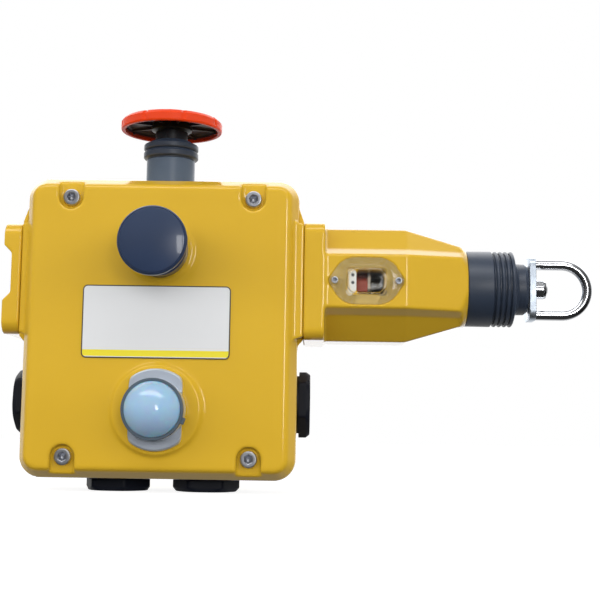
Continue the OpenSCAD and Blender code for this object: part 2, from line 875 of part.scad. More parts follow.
module rope_eye() {
    bend_x = plate_x + plate_t + eye_l - eye_rod_d / 2 - eye_w / 2;
    color("silver") {
        along_rope(plate_x) for (s = [-1, 1]) translate([0, s * eye_w / 2, 0])
            cylinder(d = eye_rod_d, h = bend_x - plate_x);
        translate([bend_x, -axis_d, 0]) rotate([90, 0, 0]) rotate([0, 0, -90])
            rotate_extrude(angle = 180) translate([eye_w / 2, 0]) circle(d = eye_rod_d, $fn = 32);
    }
}

module eye_nut() {
    across = 10 * stud_d / 6;
    color("silver") along_rope(plate_x + plate_t + gap) difference() {
        union() {
            cylinder(d = across / cos(30), h = nut_h * 0.72, $fn = 6);
            translate([0, 0, nut_h * 0.72])
                cylinder(r1 = across / 2, r2 = across / 2 - 1.3, h = nut_h * 0.28);
        }
        translate([0, 0, -1]) cylinder(r = stud_r + run, h = nut_h + 2);
    }
}

// ---- Mechanism inside the box ----

module mechanism_plate() {
    mid_z = (sheet_top + sheet_bottom) / 2;
    color("silver") difference() {
        to_front(0, stand_d, mid_z) linear_extrude(sheet_t)
            rounded(sheet_w, sheet_top - sheet_bottom, 4);
        for (x = [-1, 1], z = sheet_screw_zs)
            to_front(x * sheet_screw_x, stand_d - 1, z) cylinder(r = 2.2, h = sheet_t + 2);
    }
}

module plate_screws() {
    color("gray") for (x = [-1, 1], z = sheet_screw_zs)
        to_front(x * sheet_screw_x, block_back_d, z)
            screw(1.85, sheet_t + stand_d - floor_t - 1, 3.6, 2.6, 2.5);
}

module contact_blocks() {
    color("dimgray") for (x = plunger_xs) difference() {
        to_front(x, block_back_d, block_top - block_h / 2)
            linear_extrude(block_front_d - block_back_d) rounded(block_w, block_h, 1.5);
        upright(x, block_top - 20) cylinder(r = plunger_r + run, h = 21);
        for (s = [-1, 1]) to_front(x + s * 8, block_back_d - 1, block_top - block_h + 5)
            cylinder(r = 1.7, h = block_front_d);
        for (s = [-1, 1], z = [14, 21]) to_front(x + s * 7, block_front_d - 3, block_top - z)
            cylinder(r = 2.6, h = 4);
    }
}

module block_screws() {
    color("silver") for (x = plunger_xs, s = [-1, 1])
        to_front(x + s * 8, block_front_d, block_top - block_h + 5)
            screw(1.65, block_front_d - block_back_d, 2.8, 2, 2);
}

module contact_plungers() {
    color("ivory") for (x = plunger_xs) upright(x, 0) {
        translate([0, 0, block_top - 14]) cylinder(r = plunger_r, h = tip_z - block_top + 14);
        translate([0, 0, tip_z]) sphere(plunger_r, $fn = 32);
    }
}

module latch_block() {
    top = min(sheet_top, shank_bottom - 1);
    color("dimgray") difference() {
        to_front(0, block_back_d, (top + latch_bottom) / 2)
            linear_extrude(block_front_d - block_back_d) rounded(latch_w, top - latch_bottom, 1.5);
        upright(0, top - 14) cylinder(r = stem_r + 0.3, h = 15);
        to_front(0, axis_d + 4, reset_z) cylinder(r = reset_shaft_r + 0.3, h = block_front_d);
    }
}

module terminal_strip() {
    color("darkolivegreen") difference() {
        to_front(0, floor_t, strip_z) linear_extrude(strip_t) rounded(8 * strip_pitch + 4, strip_h, 1);
        for (i = [-3.5 : 1 : 3.5], s = [-1, 1])
            to_front(i * strip_pitch, strip_screw_d, strip_z + s * strip_h / 4) cylinder(r = 2.6, h = 4);
        for (i = [-4 : 1 : 4])
            to_front(i * strip_pitch - 0.4, strip_screw_d - 3, strip_z - strip_h / 2 - 0.5)
                cube([0.8, strip_h + 1, 8]);
    }
}

module terminal_screws() {
    color("silver") for (i = [-3.5 : 1 : 3.5], s = [-1, 1])
        to_front(i * strip_pitch, strip_screw_d, strip_z + s * strip_h / 4) difference() {
            cylinder(r = 2.2, h = 2);
            translate([-3, -0.35, 1.2]) cube([6, 0.7, 2]);
        }
}

module earth_screw() {
    color("goldenrod") to_front(earth_x, floor_t + 5, earth_z) screw(1.85, 7, 4, 3, 3);
}

// ---- Stop mushroom ----

module estop_cap() {
    rim_top = cap_z + cap_rim;
    ball_r = (pow(cap_r - 2, 2) + pow(cap_crown, 2)) / (2 * cap_crown);
    color("red") difference() {
        union() {
            upright(0, cap_z) cylinder(r = cap_r, h = cap_rim);
            intersection() {
                upright(0, rim_top + cap_crown - ball_r) sphere(ball_r, $fn = 96);
                upright(0, rim_top - 0.5) cylinder(r = cap_r - 2, h = cap_crown + 1);
            }
            upright(0, rim_top - 1) cylinder(r1 = cap_r, r2 = cap_r - 2, h = 2);
        }
        upright(0, cap_z - 1) difference() {
            cylinder(r = cap_r - cap_wall, h = cap_rim + 1 - cap_wall + 1);
            for (a = [0 : 360 / cap_grooves : 359]) rotate([0, 0, a + 180 / cap_grooves])
                translate([hub_top_r, -0.7, 2.5]) cube([cap_r - hub_top_r, 1.4, cap_rim]);
        }
        for (a = [0 : 360 / cap_grooves : 359]) upright(0, 0) rotate([0, 0, a + 20])
            translate([cap_r + 0.5, 0, cap_z - 1]) cylinder(r = 1.3, h = cap_rim + 3, $fn = 24);
    }
}

module estop_hub() {
    color([0.12, 0.12, 0.14]) upright(0, 0) rotate_extrude() polygon([
        [0, hub_bottom], [hub_r, hub_bottom], [hub_r, cap_z + 0.5], [hub_top_r, cap_z + 1.1],
        [hub_top_r, hub_top], [0, hub_top]
    ]);
}

module estop_stem() {
    color("silver") upright(0, shank_bottom - 6) cylinder(r = stem_r, h = hub_bottom - shank_bottom + 6);
}

module estop_spring() {
    color("silver") upright(0, guide_floor + gap)
        coil(stop_spring_r, 1.5, hub_bottom - guide_floor - 2 * gap, 5);
}

// Rubber bellows of two bulges, from the sleeve's end up to the hub.
module estop_bellows() {
    r = sleeve_d / 2 + 1.7;
    h = bellows_h;
    outside = [
        [r - 1.7, 0], [r - 1.7, h * 0.06], [r - 0.4, h * 0.09], [r, h * 0.14], [r, h * 0.36],
        [r - 0.4, h * 0.41], [r - 1.3, h * 0.44], [r - 1.3, h * 0.48], [r - 0.4, h * 0.51],
        [r, h * 0.56], [r, h * 0.75], [r - 0.5, h * 0.8], [hub_r + 2.8, h * 0.91],
        [hub_r + 2.6, h * 0.95], [hub_r + 1.4, h]
    ];
    inside = [
        [hub_r + 0.2, h], [hub_r + 0.2, h * 0.86], [r - 3, h * 0.72], [r - 1.6, h * 0.66],
        [r - 1.6, h * 0.58], [r - 2.9, h * 0.5], [r - 2.9, h * 0.42], [r - 1.6, h * 0.34],
        [r - 1.6, h * 0.2], [r - 3.2, h * 0.12], [stop_spring_r + 1, h * 0.1], [stop_spring_r + 1, 0]
    ];
    color([0.15, 0.15, 0.17]) upright(0, sleeve_top) rotate_extrude() polygon(concat(outside, inside));
}

module estop_sleeve() {
    color("slategray") difference() {
        union() {
            upright(0, box_top + top_boss_h) cylinder(d = sleeve_d, h = sleeve_h - top_boss_h);
            upright(0, shank_bottom) cylinder(r = shank_r, h = box_top + top_boss_h - shank_bottom);
        }
        upright(0, guide_floor) cylinder(r = stop_spring_r + 0.6, h = sleeve_h + wall + 1);
        upright(0, shank_bottom - 1) cylinder(r = stem_r + run, h = 10);
    }
}

module estop_nut() {
    color("dimgray") upright(0, inner_top - nut_t) hex_nut(nut_w, shank_r + run, nut_t);
}

// ---- Reset button ----

module reset_button() {
    ball_r = (pow(reset_d / 2 - 1, 2) + 1.8 * 1.8) / 3.6;
    shoulder_d = reset_front_d - 1.8;
    color("midnightblue") {
        to_front(0, neck_back_d, reset_z)
            cylinder(r = neck_r, h = reset_front_d - reset_head_t - neck_back_d + 1);
        to_front(0, reset_front_d - reset_head_t, reset_z) {
            cylinder(r1 = reset_d / 2 - 1.2, r2 = reset_d / 2, h = 1.2);
            translate([0, 0, 1.2]) cylinder(d = reset_d, h = reset_head_t - 4);
            translate([0, 0, reset_head_t - 2.8]) cylinder(d1 = reset_d, d2 = reset_d - 2, h = 1);
        }
        intersection() {
            to_front(0, reset_front_d - ball_r, reset_z) sphere(ball_r, $fn = 96);
            to_front(0, shoulder_d - 0.2, reset_z) cylinder(r = reset_d / 2 - 1, h = 3);
        }
    }
}

module reset_shaft() {
    color("silver") to_front(0, reset_shaft_back_d, reset_z)
        cylinder(r = reset_shaft_r, h = neck_back_d - reset_shaft_back_d);
}

module reset_spring() {
    color("silver") to_front(0, reset_floor_d + gap, reset_z)
        coil(9.4, 1.2, neck_back_d - reset_floor_d - 2 * gap, 3);
}

module reset_bezel() {
    color([0.1, 0.12, 0.2]) difference() {
        union() {
            to_front(0, reset_seat_d, reset_z) cylinder(r = bezel_r, h = bezel_front_d - reset_seat_d);
            to_front(0, reset_shank_back_d, reset_z)
                cylinder(r = shank_r, h = reset_seat_d - reset_shank_back_d);
        }
        to_front(0, reset_floor_d, reset_z) cylinder(r = neck_r + run, h = 20);
        to_front(0, reset_shank_back_d - 1, reset_z) cylinder(r = reset_shaft_r + run, h = 20);
    }
}

module reset_nut() {
    color("dimgray") to_front(0, inner_face_d - nut_t, reset_z) hex_nut(nut_w - 1, shank_r + run, nut_t);
}

// ---- Beacon ----

module beacon_base() {
    color("silver") difference() {
        union() {
            to_front(0, boss_d_front, -beacon_drop) intersection() {
                cylinder(r1 = base_r, r2 = base_r - 0.8, h = base_t);
                translate([-base_half_w, -base_r, 0]) cube([2 * base_half_w, 2 * base_r, base_t]);
            }
            to_front(0, boss_d_front + base_t, -beacon_drop)
                cylinder(r = beacon_ring_r, h = beacon_ring_d - boss_d_front - base_t);
            to_front(0, inner_face_d - 1, -beacon_drop)
                cylinder(r = base_half_w - 1.3, h = boss_d_front - inner_face_d + 1);
        }
        to_front(0, boss_d_front + base_t + 1, -beacon_drop) cylinder(r = dome_r, h = 30);
        to_front(0, inner_face_d - 2, -beacon_drop) cylinder(r = 4, h = 30);
    }
}

module beacon_board() {
    color("seagreen") to_front(0, boss_d_front + base_t + 1, -beacon_drop) difference() {
        cylinder(r = dome_r, h = board_t);
        translate([0, 0, -1]) cylinder(r = 2, h = board_t + 2);
    }
}

module beacon_leds() {
    color("ivory") to_front(0, boss_d_front + base_t + 1 + board_t, -beacon_drop)
        for (a = [0 : 60 : 300]) rotate([0, 0, a]) translate([7.5, 0, 0]) {
            cylinder(r = 2.2, h = 1.8);
            translate([0, 0, 1.8]) sphere(1.8, $fn = 24);
        }
}

module beacon_seal() {
    color("black") to_front(0, beacon_ring_d, -beacon_drop) difference() {
        union() {
            cylinder(r = beacon_ring_r, h = seal_h);
            rotate([0, 0, tab_turn]) translate([dome_r, -tab_w / 2, 0])
                cube([seal_t + tab_l, tab_w, seal_h - 0.6]);
        }
        translate([0, 0, -1]) cylinder(r = dome_r, h = seal_h + 2);
    }
}

module beacon_lens() {
    ball_r = (dome_r * dome_r + dome_h * dome_h) / (2 * dome_h);
    inner_r = ball_r - 1.6;
    color([0.75, 0.82, 0.88, 0.7]) difference() {
        union() {
            to_front(0, dome_foot_d - 4, -beacon_drop) cylinder(r = dome_r, h = 4);
            intersection() {
                to_front(0, dome_foot_d + dome_h - ball_r, -beacon_drop) sphere(ball_r, $fn = 96);
                to_front(0, dome_foot_d - 0.5, -beacon_drop) cylinder(r = dome_r, h = dome_h + 2);
            }
        }
        to_front(0, dome_foot_d - 5, -beacon_drop) cylinder(r = dome_r - 1.6, h = 5.2);
        intersection() {
            to_front(0, dome_foot_d + dome_h - ball_r, -beacon_drop) sphere(inner_r, $fn = 96);
            to_front(0, dome_foot_d, -beacon_drop) cylinder(r = dome_r - 1.6, h = dome_h);
        }
    }
}

// ---- Conduit plugs ----

module conduit_plugs() {
    color([0.1, 0.1, 0.12]) at_entries() {
        translate([0, 0, seal_ring_t]) hex_head(plug_w, plug_h - seal_ring_t);
        difference() {
            translate([0, 0, -shank_l]) cylinder(r = entry_r - run, h = shank_l + seal_ring_t);
            translate([0, 0, -shank_l - 1]) cylinder(r = entry_r - 3, h = shank_l - 1);
        }
    }
}

module plug_seals() {
    color("black") at_entries() tube(plug_w / 2 - 0.3, entry_r + run, seal_ring_t);
}

body();
lid();
lid_gasket();
lid_screws();
label_plate();
end_cover();
end_o_ring();
end_cover_screws();
rear_bush();
arm_housing();
arm_o_ring();
arm_screws();
nose_bush();
window_gasket();
window_cover();
window_screws();
tension_scale();
pull_rod();
tension_flag();
flag_stripe();
contact_cam();
spring_seat();
main_spring();
rod_boot();
eye_plate();
rope_eye();
eye_nut();
mechanism_plate();
plate_screws();
contact_blocks();
block_screws();
contact_plungers();
latch_block();
terminal_strip();
terminal_screws();
earth_screw();
estop_cap();
estop_hub();
estop_stem();
estop_spring();
estop_bellows();
estop_sleeve();
estop_nut();
reset_button();
reset_shaft();
reset_spring();
reset_bezel();
reset_nut();
beacon_base();
beacon_board();
beacon_leds();
beacon_seal();
beacon_lens();
conduit_plugs();
plug_seals();
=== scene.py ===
import json
import math

import bmesh
import bpy
from mathutils import Matrix, Vector


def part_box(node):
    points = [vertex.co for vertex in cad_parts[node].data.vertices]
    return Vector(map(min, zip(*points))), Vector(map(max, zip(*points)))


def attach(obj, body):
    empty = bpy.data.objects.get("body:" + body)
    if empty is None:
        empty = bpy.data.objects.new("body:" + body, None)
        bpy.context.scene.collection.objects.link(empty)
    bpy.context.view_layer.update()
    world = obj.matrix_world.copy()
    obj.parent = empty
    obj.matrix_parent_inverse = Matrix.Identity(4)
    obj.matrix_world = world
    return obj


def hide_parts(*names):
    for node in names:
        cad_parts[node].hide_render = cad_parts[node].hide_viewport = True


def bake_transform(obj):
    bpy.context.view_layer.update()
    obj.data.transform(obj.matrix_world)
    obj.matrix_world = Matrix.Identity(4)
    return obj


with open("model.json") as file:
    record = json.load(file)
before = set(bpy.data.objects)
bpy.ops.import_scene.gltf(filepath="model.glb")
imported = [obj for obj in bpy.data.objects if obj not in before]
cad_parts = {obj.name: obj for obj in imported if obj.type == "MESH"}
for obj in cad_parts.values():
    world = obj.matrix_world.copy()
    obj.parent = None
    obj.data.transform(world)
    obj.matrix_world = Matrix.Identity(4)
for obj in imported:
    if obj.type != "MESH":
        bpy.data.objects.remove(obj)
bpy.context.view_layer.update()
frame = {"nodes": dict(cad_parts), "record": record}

NODES = frame["nodes"]
RECORD = frame["record"]
SLOT_OF = {part["node"]: part["material_slot"] for part in RECORD["subparts"]}
BODY_OF = {node: body for body, members in RECORD["behaviour"]["bodies"].items() for node in members}
MM = 0.001
scene = bpy.context.scene


def span(node):
    """Lowest and highest corner of a CAD node, in millimetres."""
    low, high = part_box(node)
    return low / MM, high / MM


def middle(node):
    low, high = span(node)
    return (low + high) / 2


# Widths run along X and heights along Z. A depth runs out of the lid, against Y.
ROPE_Y = middle("pull_rod").y
LID_D = -span("label_plate")[1].y
RESET = middle("reset_button")
BEACON = middle("beacon_lens")


# ---- Camera ----

def add_camera():
    """A long lens that stands below the rope's height and looks up a little."""
    place, lens = (0.08176, -0.68137, -0.0785), 73.73
    yaw, pitch, roll = -0.0170, 0.1096, 0.0158
    ahead = Vector((math.sin(yaw) * math.cos(pitch), math.cos(yaw) * math.cos(pitch), math.sin(pitch)))
    level = Vector((math.cos(yaw), -math.sin(yaw), 0))
    upward = level.cross(ahead)
    right = level * math.cos(roll) + upward * math.sin(roll)
    top = upward * math.cos(roll) - level * math.sin(roll)
    turn = Matrix((right, top, -ahead)).transposed().to_4x4()
    camera = bpy.data.objects.new("camera", bpy.data.cameras.new("camera"))
    camera.data.lens = lens
    camera.data.clip_start = 0.01
    camera.matrix_world = Matrix.Translation(place) @ turn
    scene.collection.objects.link(camera)
    scene.camera = camera


add_camera()
scene.view_settings.view_transform = "Standard"


# ---- Node trees in plain arithmetic ----

class Wire:
    """An output of a node, which plain arithmetic turns into further nodes."""

    def __init__(self, tree, made, out):
        self.tree, self.made = tree, made
        self.socket = made.outputs[out]

    def other(self, out):
        return Wire(self.tree, self.made, out)

    def maths(self, operation, *values):
        return node(self.tree, "ShaderNodeMath", {"operation": operation}, dict(enumerate((self, *values))))

    def __add__(self, value):
        return self.maths("ADD", value)

    def __sub__(self, value):
        return self.maths("SUBTRACT", value)

    def __rsub__(self, value):
        return node(self.tree, "ShaderNodeMath", {"operation": "SUBTRACT"}, {0: value, 1: self})

    def __mul__(self, value):
        return self.maths("MULTIPLY", value)

    def __truediv__(self, value):
        return self.maths("DIVIDE", value)

    def __pow__(self, value):
        return self.maths("POWER", value)

    __radd__, __rmul__ = __add__, __mul__

    def size(self):
        return self.maths("ABSOLUTE")

    def root(self):
        return self.maths("SQRT")

    def sine(self):
        return self.maths("SINE")

    def above(self, value):
        return self.maths("MAXIMUM", value)

    def below(self, value):
        return self.maths("MINIMUM", value)

    def ramp(self, start, end):
        """0 at start, 1 at end, and held beyond them."""
        return node(self.tree, "ShaderNodeMapRange", {"clamp": True}, {"Value": self, 1: start, 2: end})


def node(tree, kind, settings=None, values=None, out=0):
    """Adds a node, sets its settings first and its sockets after, and gives one output."""
    made = tree.nodes.new(kind)
    for key, value in (settings or {}).items():
        setattr(made, key, value)
    for key, value in (values or {}).items():
        if isinstance(value, Wire):
            tree.links.new(value.socket, made.inputs[key])
        else:
            made.inputs[key].default_value = value
    return Wire(tree, made, out)


# ---- Light ----

def light_path(tree):
    seen = node(tree, "ShaderNodeLightPath", out="Is Camera Ray")
    return seen, seen.other("Is Glossy Ray"), seen.other("Is Transmission Ray")


def add_world():
    """A low band of soft light all round, and for gloss a studio that is dim in front and white behind."""
    world = bpy.data.worlds.new("studio")
    scene.world = world
    world.use_nodes = True
    tree = world.node_tree
    camera_ray, glossy_ray, clear_ray = light_path(tree)
    way = node(tree, "ShaderNodeTexCoord", out="Generated")
    x = node(tree, "ShaderNodeSeparateXYZ", values={0: way}, out="X")
    y, z = x.other("Y"), x.other("Z")
    front = 0.03 + 0.32 * z.ramp(-0.1, 0.8)
    behind = y.ramp(0.12, 0.42) * (0.5 + 1.9 * z.ramp(-0.5, 0.5))
    room = front.above(behind) * (1 - 0.8 * x.size().ramp(0.4, 0.8))
    ambient = 0.03 + 2.75 * z.ramp(-0.02, 0.07) * (1 - z.ramp(0.35, 0.47))
    seen = camera_ray.above(clear_ray)
    level = seen + (1 - seen) * (glossy_ray * room + (1 - glossy_ray) * ambient)
    tree.links.new(level.socket, tree.nodes["Background"].inputs["Strength"])
    tree.nodes["Background"].inputs["Color"].default_value = (1, 1, 1, 1)


def softbox(name, place, target, width, height, power):
    """A flat lamp, in metres and watts, that looks at its target."""
    lamp = bpy.data.lights.new(name, "AREA")
    lamp.shape, lamp.size, lamp.size_y, lamp.energy = "RECTANGLE", width, height, power
    holder = bpy.data.objects.new(name, lamp)
    aim = (Vector(target) - Vector(place)).to_track_quat("-Z", "Y")
    holder.matrix_world = Matrix.Translation(place) @ aim.to_matrix().to_4x4()
    scene.collection.objects.link(holder)


add_world()
softbox("key", (-0.1, -0.75, 1.05), (0.05, -0.04, 0), 1.9, 0.42, 7.5)
softbox("left_pane", (0.74, -2.99, 0.3), (0, -0.06, 0), 0.19, 0.75, 5)
softbox("right_pane", (0.97, -2.93, 0.3), (0, -0.06, 0), 0.19, 0.75, 5)


def add_object(name, mesh):
    made = bpy.data.objects.new(name, mesh)
    scene.collection.objects.link(made)
    return made


def add_floor():
    """A pale floor just under the lowest piece. Gloss sees through it, and light meets it as a dim one."""
    reach, clear = 4, 0.0002
    height = min(span(n)[0].z for n in NODES) * MM - clear
    mesh = bpy.data.meshes.new("floor")
    corners = [(x * reach, y * reach, height) for x, y in ((-1, -1), (1, -1), (1, 1), (-1, 1))]
    mesh.from_pydata(corners, [], [(0, 1, 2, 3)])
    floor = add_object("floor", mesh)
    material = bpy.data.materials.new("studio_floor")
    material.use_nodes = True
    tree = material.node_tree
    camera_ray, glossy_ray, clear_ray = light_path(tree)
    dim = node(tree, "ShaderNodeBsdfDiffuse", values={"Color": (0.1, 0.1, 0.1, 1)})
    tone = node(tree, "ShaderNodeBsdfDiffuse", values={"Color": (0.4, 0.4, 0.4, 1)})
    glow = node(tree, "ShaderNodeEmission", values={"Strength": 0.86})
    pale = node(tree, "ShaderNodeAddShader", values={0: tone, 1: glow})
    lit = node(tree, "ShaderNodeMixShader", values={0: camera_ray.above(clear_ray), 1: dim, 2: pale})
    open_air = node(tree, "ShaderNodeBsdfTransparent")
    mixed = node(tree, "ShaderNodeMixShader", values={0: glossy_ray, 1: lit, 2: open_air})
    tree.links.new(mixed.socket, tree.nodes["Material Output"].inputs["Surface"])
    mesh.materials.append(material)


add_floor()


# ---- Finishes ----

FINISHES = {}


class Finish:
    """A material whose sockets are set once, or fed by patterns on the object's own coordinates."""

    def __init__(self, name, **fixed):
        self.material = bpy.data.materials.new(name)
        self.material.use_nodes = True
        self.tree = self.material.node_tree
        self.shader = self.tree.nodes["Principled BSDF"]
        for key, value in fixed.items():
            self.shader.inputs[key.replace("_", " ")].default_value = value
        FINISHES[name] = self

    def feed(self, socket, wire):
        self.tree.links.new(wire.socket, self.shader.inputs[socket])

    def place(self):
        return node(self.tree, "ShaderNodeTexCoord", out="Object")

    def xyz(self):
        x = node(self.tree, "ShaderNodeSeparateXYZ", values={0: self.place()}, out="X")
        return x, x.other("Y"), x.other("Z")

    def grain(self, scale, detail=2.0, stretch=(1, 1, 1)):
        """Soft noise from 0 to 1, with that many spots a metre."""
        where = node(self.tree, "ShaderNodeMapping", values={"Vector": self.place(), "Scale": stretch})
        sockets = {"Vector": where, "Scale": scale, "Detail": detail}
        return node(self.tree, "ShaderNodeTexNoise", values=sockets)

    def tint(self, first, second, share):
        """Colour between two colours."""
        sockets = {"Factor": share, 6: first if isinstance(first, Wire) else (*first, 1),
                   7: second if isinstance(second, Wire) else (*second, 1)}
        return node(self.tree, "ShaderNodeMix", {"data_type": "RGBA"}, sockets, out=2)

    def relief(self, height, depth):
        """Raises the surface by depth millimetres where the pattern is 1."""
        sockets = {"Height": height, "Distance": depth * MM, "Strength": 1.0}
        self.feed("Normal", node(self.tree, "ShaderNodeBump", values=sockets))

    def box_edge(self, across, up, width, height, corner):
        """Distance in millimetres from a rounded rectangle's edge, negative inside it."""
        a = across.size() - (width / 2 - corner)
        b = up.size() - (height / 2 - corner)
        outside = (a.above(0) ** 2 + b.above(0) ** 2).root()
        return outside + a.above(b).below(0) - corner


def plain(name, colour, rough, second=None, fine=700, depth=0.03, spread=0.08, **fixed):
    """A finish with soft patches of a second tone, a little uneven gloss and a fine surface."""
    finish = Finish(name, **fixed)
    second = second or tuple(c * 0.86 for c in colour)
    finish.feed("Base Color", finish.tint(colour, second, finish.grain(60, 3).ramp(0.35, 0.7)))
    finish.feed("Roughness", rough - spread / 2 + spread * finish.grain(fine * 0.35, 3))
    finish.relief(finish.grain(fine, 3), depth)


def brushed(name, colour, rough, stretch=(1, 1, 1), fine=900, depth=0.012):
    """Metal with faint stains and fine streaks, drawn out along an axis whose stretch is small."""
    finish = Finish(name, Metallic=1.0)
    streaks = finish.grain(fine, 4, stretch)
    stains = finish.grain(90, 4).ramp(0.45, 0.75)
    finish.feed("Base Color", finish.tint(colour, tuple(c * 0.8 for c in colour), stains * 0.6))
    finish.feed("Roughness", rough - 0.04 + 0.1 * streaks + 0.06 * stains)
    finish.relief(streaks, depth)


def yellow_casting():
    """Glossy baked paint with a slight orange peel, and bare metal in the arm's bore."""
    paint, deeper = (0.755, 0.468, 0.031), (0.71725, 0.43524, 0.02635)
    speck, bare = (0.45, 0.27, 0.03), (0.2, 0.2, 0.21)
    bore_r, bore_half, arm_x = 20.3, 29, middle("window_cover").x
    finish = Finish("yellow_casting", Coat_Weight=1.0, Coat_Roughness=0.09, Specular_IOR_Level=0.04)
    x, y, z = finish.xyz()
    patches = finish.grain(18, 3).ramp(0.3, 0.75)
    specks = finish.grain(1500, 1).ramp(0.76, 0.8)
    coat = finish.tint(finish.tint(paint, deeper, patches), speck, specks * 0.25)
    reach = ((y / MM - ROPE_Y) ** 2 + (z / MM) ** 2).root()
    along = (x / MM - arm_x).size()
    inside = (1 - reach.ramp(bore_r, bore_r + 0.5)) * (1 - along.ramp(bore_half, bore_half + 1))
    finish.feed("Base Color", finish.tint(coat, bare, inside))
    finish.feed("Roughness", 0.4 + 0.1 * finish.grain(260, 3))
    peel = finish.grain(850, 2) * 0.6 + finish.grain(240, 2) * 0.4
    finish.relief(peel, 0.035)


def label_white():
    """White film with a yellow strip along its lower edge, inside a thin dark border with round corners."""
    white, greyer = (0.80, 0.81, 0.82), (0.77, 0.78, 0.79)
    yellow, dark = (0.92, 0.78, 0.0), (0.05, 0.045, 0.04)
    corner_r, border, strip_low, strip_high = 2.5, 0.5, 0.85, 4.25
    finish = Finish("label_white", Coat_Weight=0.25, Coat_Roughness=0.3)
    x, _, z = finish.xyz()
    low, high = span("label_plate")
    centre = middle("label_plate")
    edge = finish.box_edge(x / MM - centre.x, z / MM - centre.z, high.x - low.x, high.z - low.z, corner_r)
    above = z / MM - low.z
    strip = (1 - above.ramp(strip_high - 0.15, strip_high)) * above.ramp(strip_low, strip_low + 0.1)
    film = finish.tint(finish.tint(white, greyer, finish.grain(40, 2)), yellow, strip)
    finish.feed("Base Color", finish.tint(film, dark, edge.ramp(-border - 0.12, -border)))
    finish.feed("Roughness", 0.34 + 0.08 * finish.grain(500, 2))
    finish.relief(finish.grain(900, 2), 0.008)


def stop_red():
    """Bright red, with the hollow underneath in dark grey."""
    red, deeper, dark = (0.84, 0.062, 0.009), (0.79, 0.05, 0.007), (0.06, 0.05, 0.09)
    low, high = span("estop_cap")
    hollow_r, hollow_h = (high.x - low.x) / 2 - 2.8, 4.1
    finish = Finish("stop_red", Coat_Weight=0.08, Coat_Roughness=0.12, Specular_IOR_Level=0.12)
    x, y, z = finish.xyz()
    reach = ((x / MM) ** 2 + (y / MM - ROPE_Y) ** 2).root()
    above = z / MM - low.z
    hollow = (1 - reach.ramp(hollow_r, hollow_r + 0.3)) * (1 - above.ramp(hollow_h, hollow_h + 0.2))
    cap = finish.tint(red, deeper, finish.grain(60, 3).ramp(0.35, 0.7))
    finish.feed("Base Color", finish.tint(cap, dark, hollow))
    finish.feed("Roughness", 0.3 + 0.08 * finish.grain(210, 3))
    finish.relief(finish.grain(600, 3), 0.015)


def tension_card():
    """White strip beside the opening, with two dark dots."""
    dot_x, dot_r = middle("tension_scale").x + 0.2, 1.0
    finish = Finish("tension_card")
    x, _, z = finish.xyz()
    upper, lower = [1 - ((x / MM - dot_x) ** 2 + (z / MM - dot_z) ** 2).root().ramp(dot_r - 0.25, dot_r)
                    for dot_z in (3.4, -0.6)]
    finish.feed("Base Color", finish.tint((0.82, 0.84, 0.84), (0.06, 0.07, 0.08), upper.above(lower)))
    finish.feed("Roughness", 0.5 + 0.1 * finish.grain(400, 2))


yellow_casting()
label_white()
stop_red()
tension_card()
plain("seal_rubber", (0.02, 0.02, 0.022), 0.62, depth=0.02)
plain("boot_rubber", (0.028, 0.042, 0.07), 0.4, second=(0.034, 0.048, 0.078), fine=500,
      Specular_IOR_Level=0.7)
plain("window_seal", (0.68, 0.48, 0.13), 0.35, second=(0.62, 0.43, 0.12), fine=400, depth=0.015)
plain("cam_plastic", (0.78, 0.76, 0.70), 0.42)
plain("switch_plastic", (0.016, 0.018, 0.022), 0.42, fine=1100)
plain("terminal_green", (0.12, 0.24, 0.10), 0.45)
plain("sleeve_grey", (0.088, 0.125, 0.185), 0.36, fine=900)
plain("reset_blue", (0.026, 0.047, 0.108), 0.3, second=(0.023, 0.042, 0.096), fine=500, depth=0.01,
      Coat_Weight=0.4, Coat_Roughness=0.05)
plain("board_green", (0.02, 0.16, 0.06), 0.35)
plain("led_white", (0.82, 0.80, 0.66), 0.22)
plain("lens_pale", (0.42, 0.60, 0.80), 0.16, second=(0.40, 0.575, 0.77), fine=300, depth=0.01,
      Subsurface_Weight=1.0, Subsurface_Scale=0.008, IOR=1.49, Coat_Weight=1.0, Coat_Roughness=0.03)
plain("plug_black", (0.006, 0.008, 0.016), 0.5, fine=1000, Specular_IOR_Level=0.25)
plain("flag_red", (0.52, 0.07, 0.03), 0.4)
plain("beacon_slate", (0.085, 0.12, 0.16), 0.42, fine=900)
plain("beacon_chrome", (0.70, 0.77, 0.88), 0.3, second=(0.66, 0.73, 0.84), fine=900, depth=0.012,
      Metallic=0.6)
plain("bronze", (0.45, 0.27, 0.12), 0.35, Metallic=1.0)
plain("clear_window", (0.98, 0.99, 0.95), 0.06, second=(0.97, 0.98, 0.94), fine=160, depth=0.01, spread=0.03,
      Transmission_Weight=1.0, IOR=1.5, Alpha=0.5)
brushed("zinc_screw", (0.66, 0.68, 0.74), 0.34, fine=1600)
brushed("plate_zinc", (0.74, 0.82, 0.92), 0.38, (1, 1, 0.3))
brushed("rod_steel", (0.60, 0.61, 0.63), 0.25, (0.06, 1, 1))
brushed("spring_steel", (0.45, 0.45, 0.47), 0.32)
brushed("bright_zinc", (0.80, 0.82, 0.85), 0.13, (0.2, 1, 1), fine=700, depth=0.006)
brushed("sheet_steel", (0.58, 0.58, 0.60), 0.34, (0.05, 1, 1))
brushed("earth_brass", (0.70, 0.50, 0.18), 0.28)


# ---- Making pieces ----

def settled(thing):
    """The plain mesh of an object with its modifiers applied."""
    bpy.context.view_layer.update()
    graph = bpy.context.evaluated_depsgraph_get()
    return bpy.data.meshes.new_from_object(thing.evaluated_get(graph), depsgraph=graph)


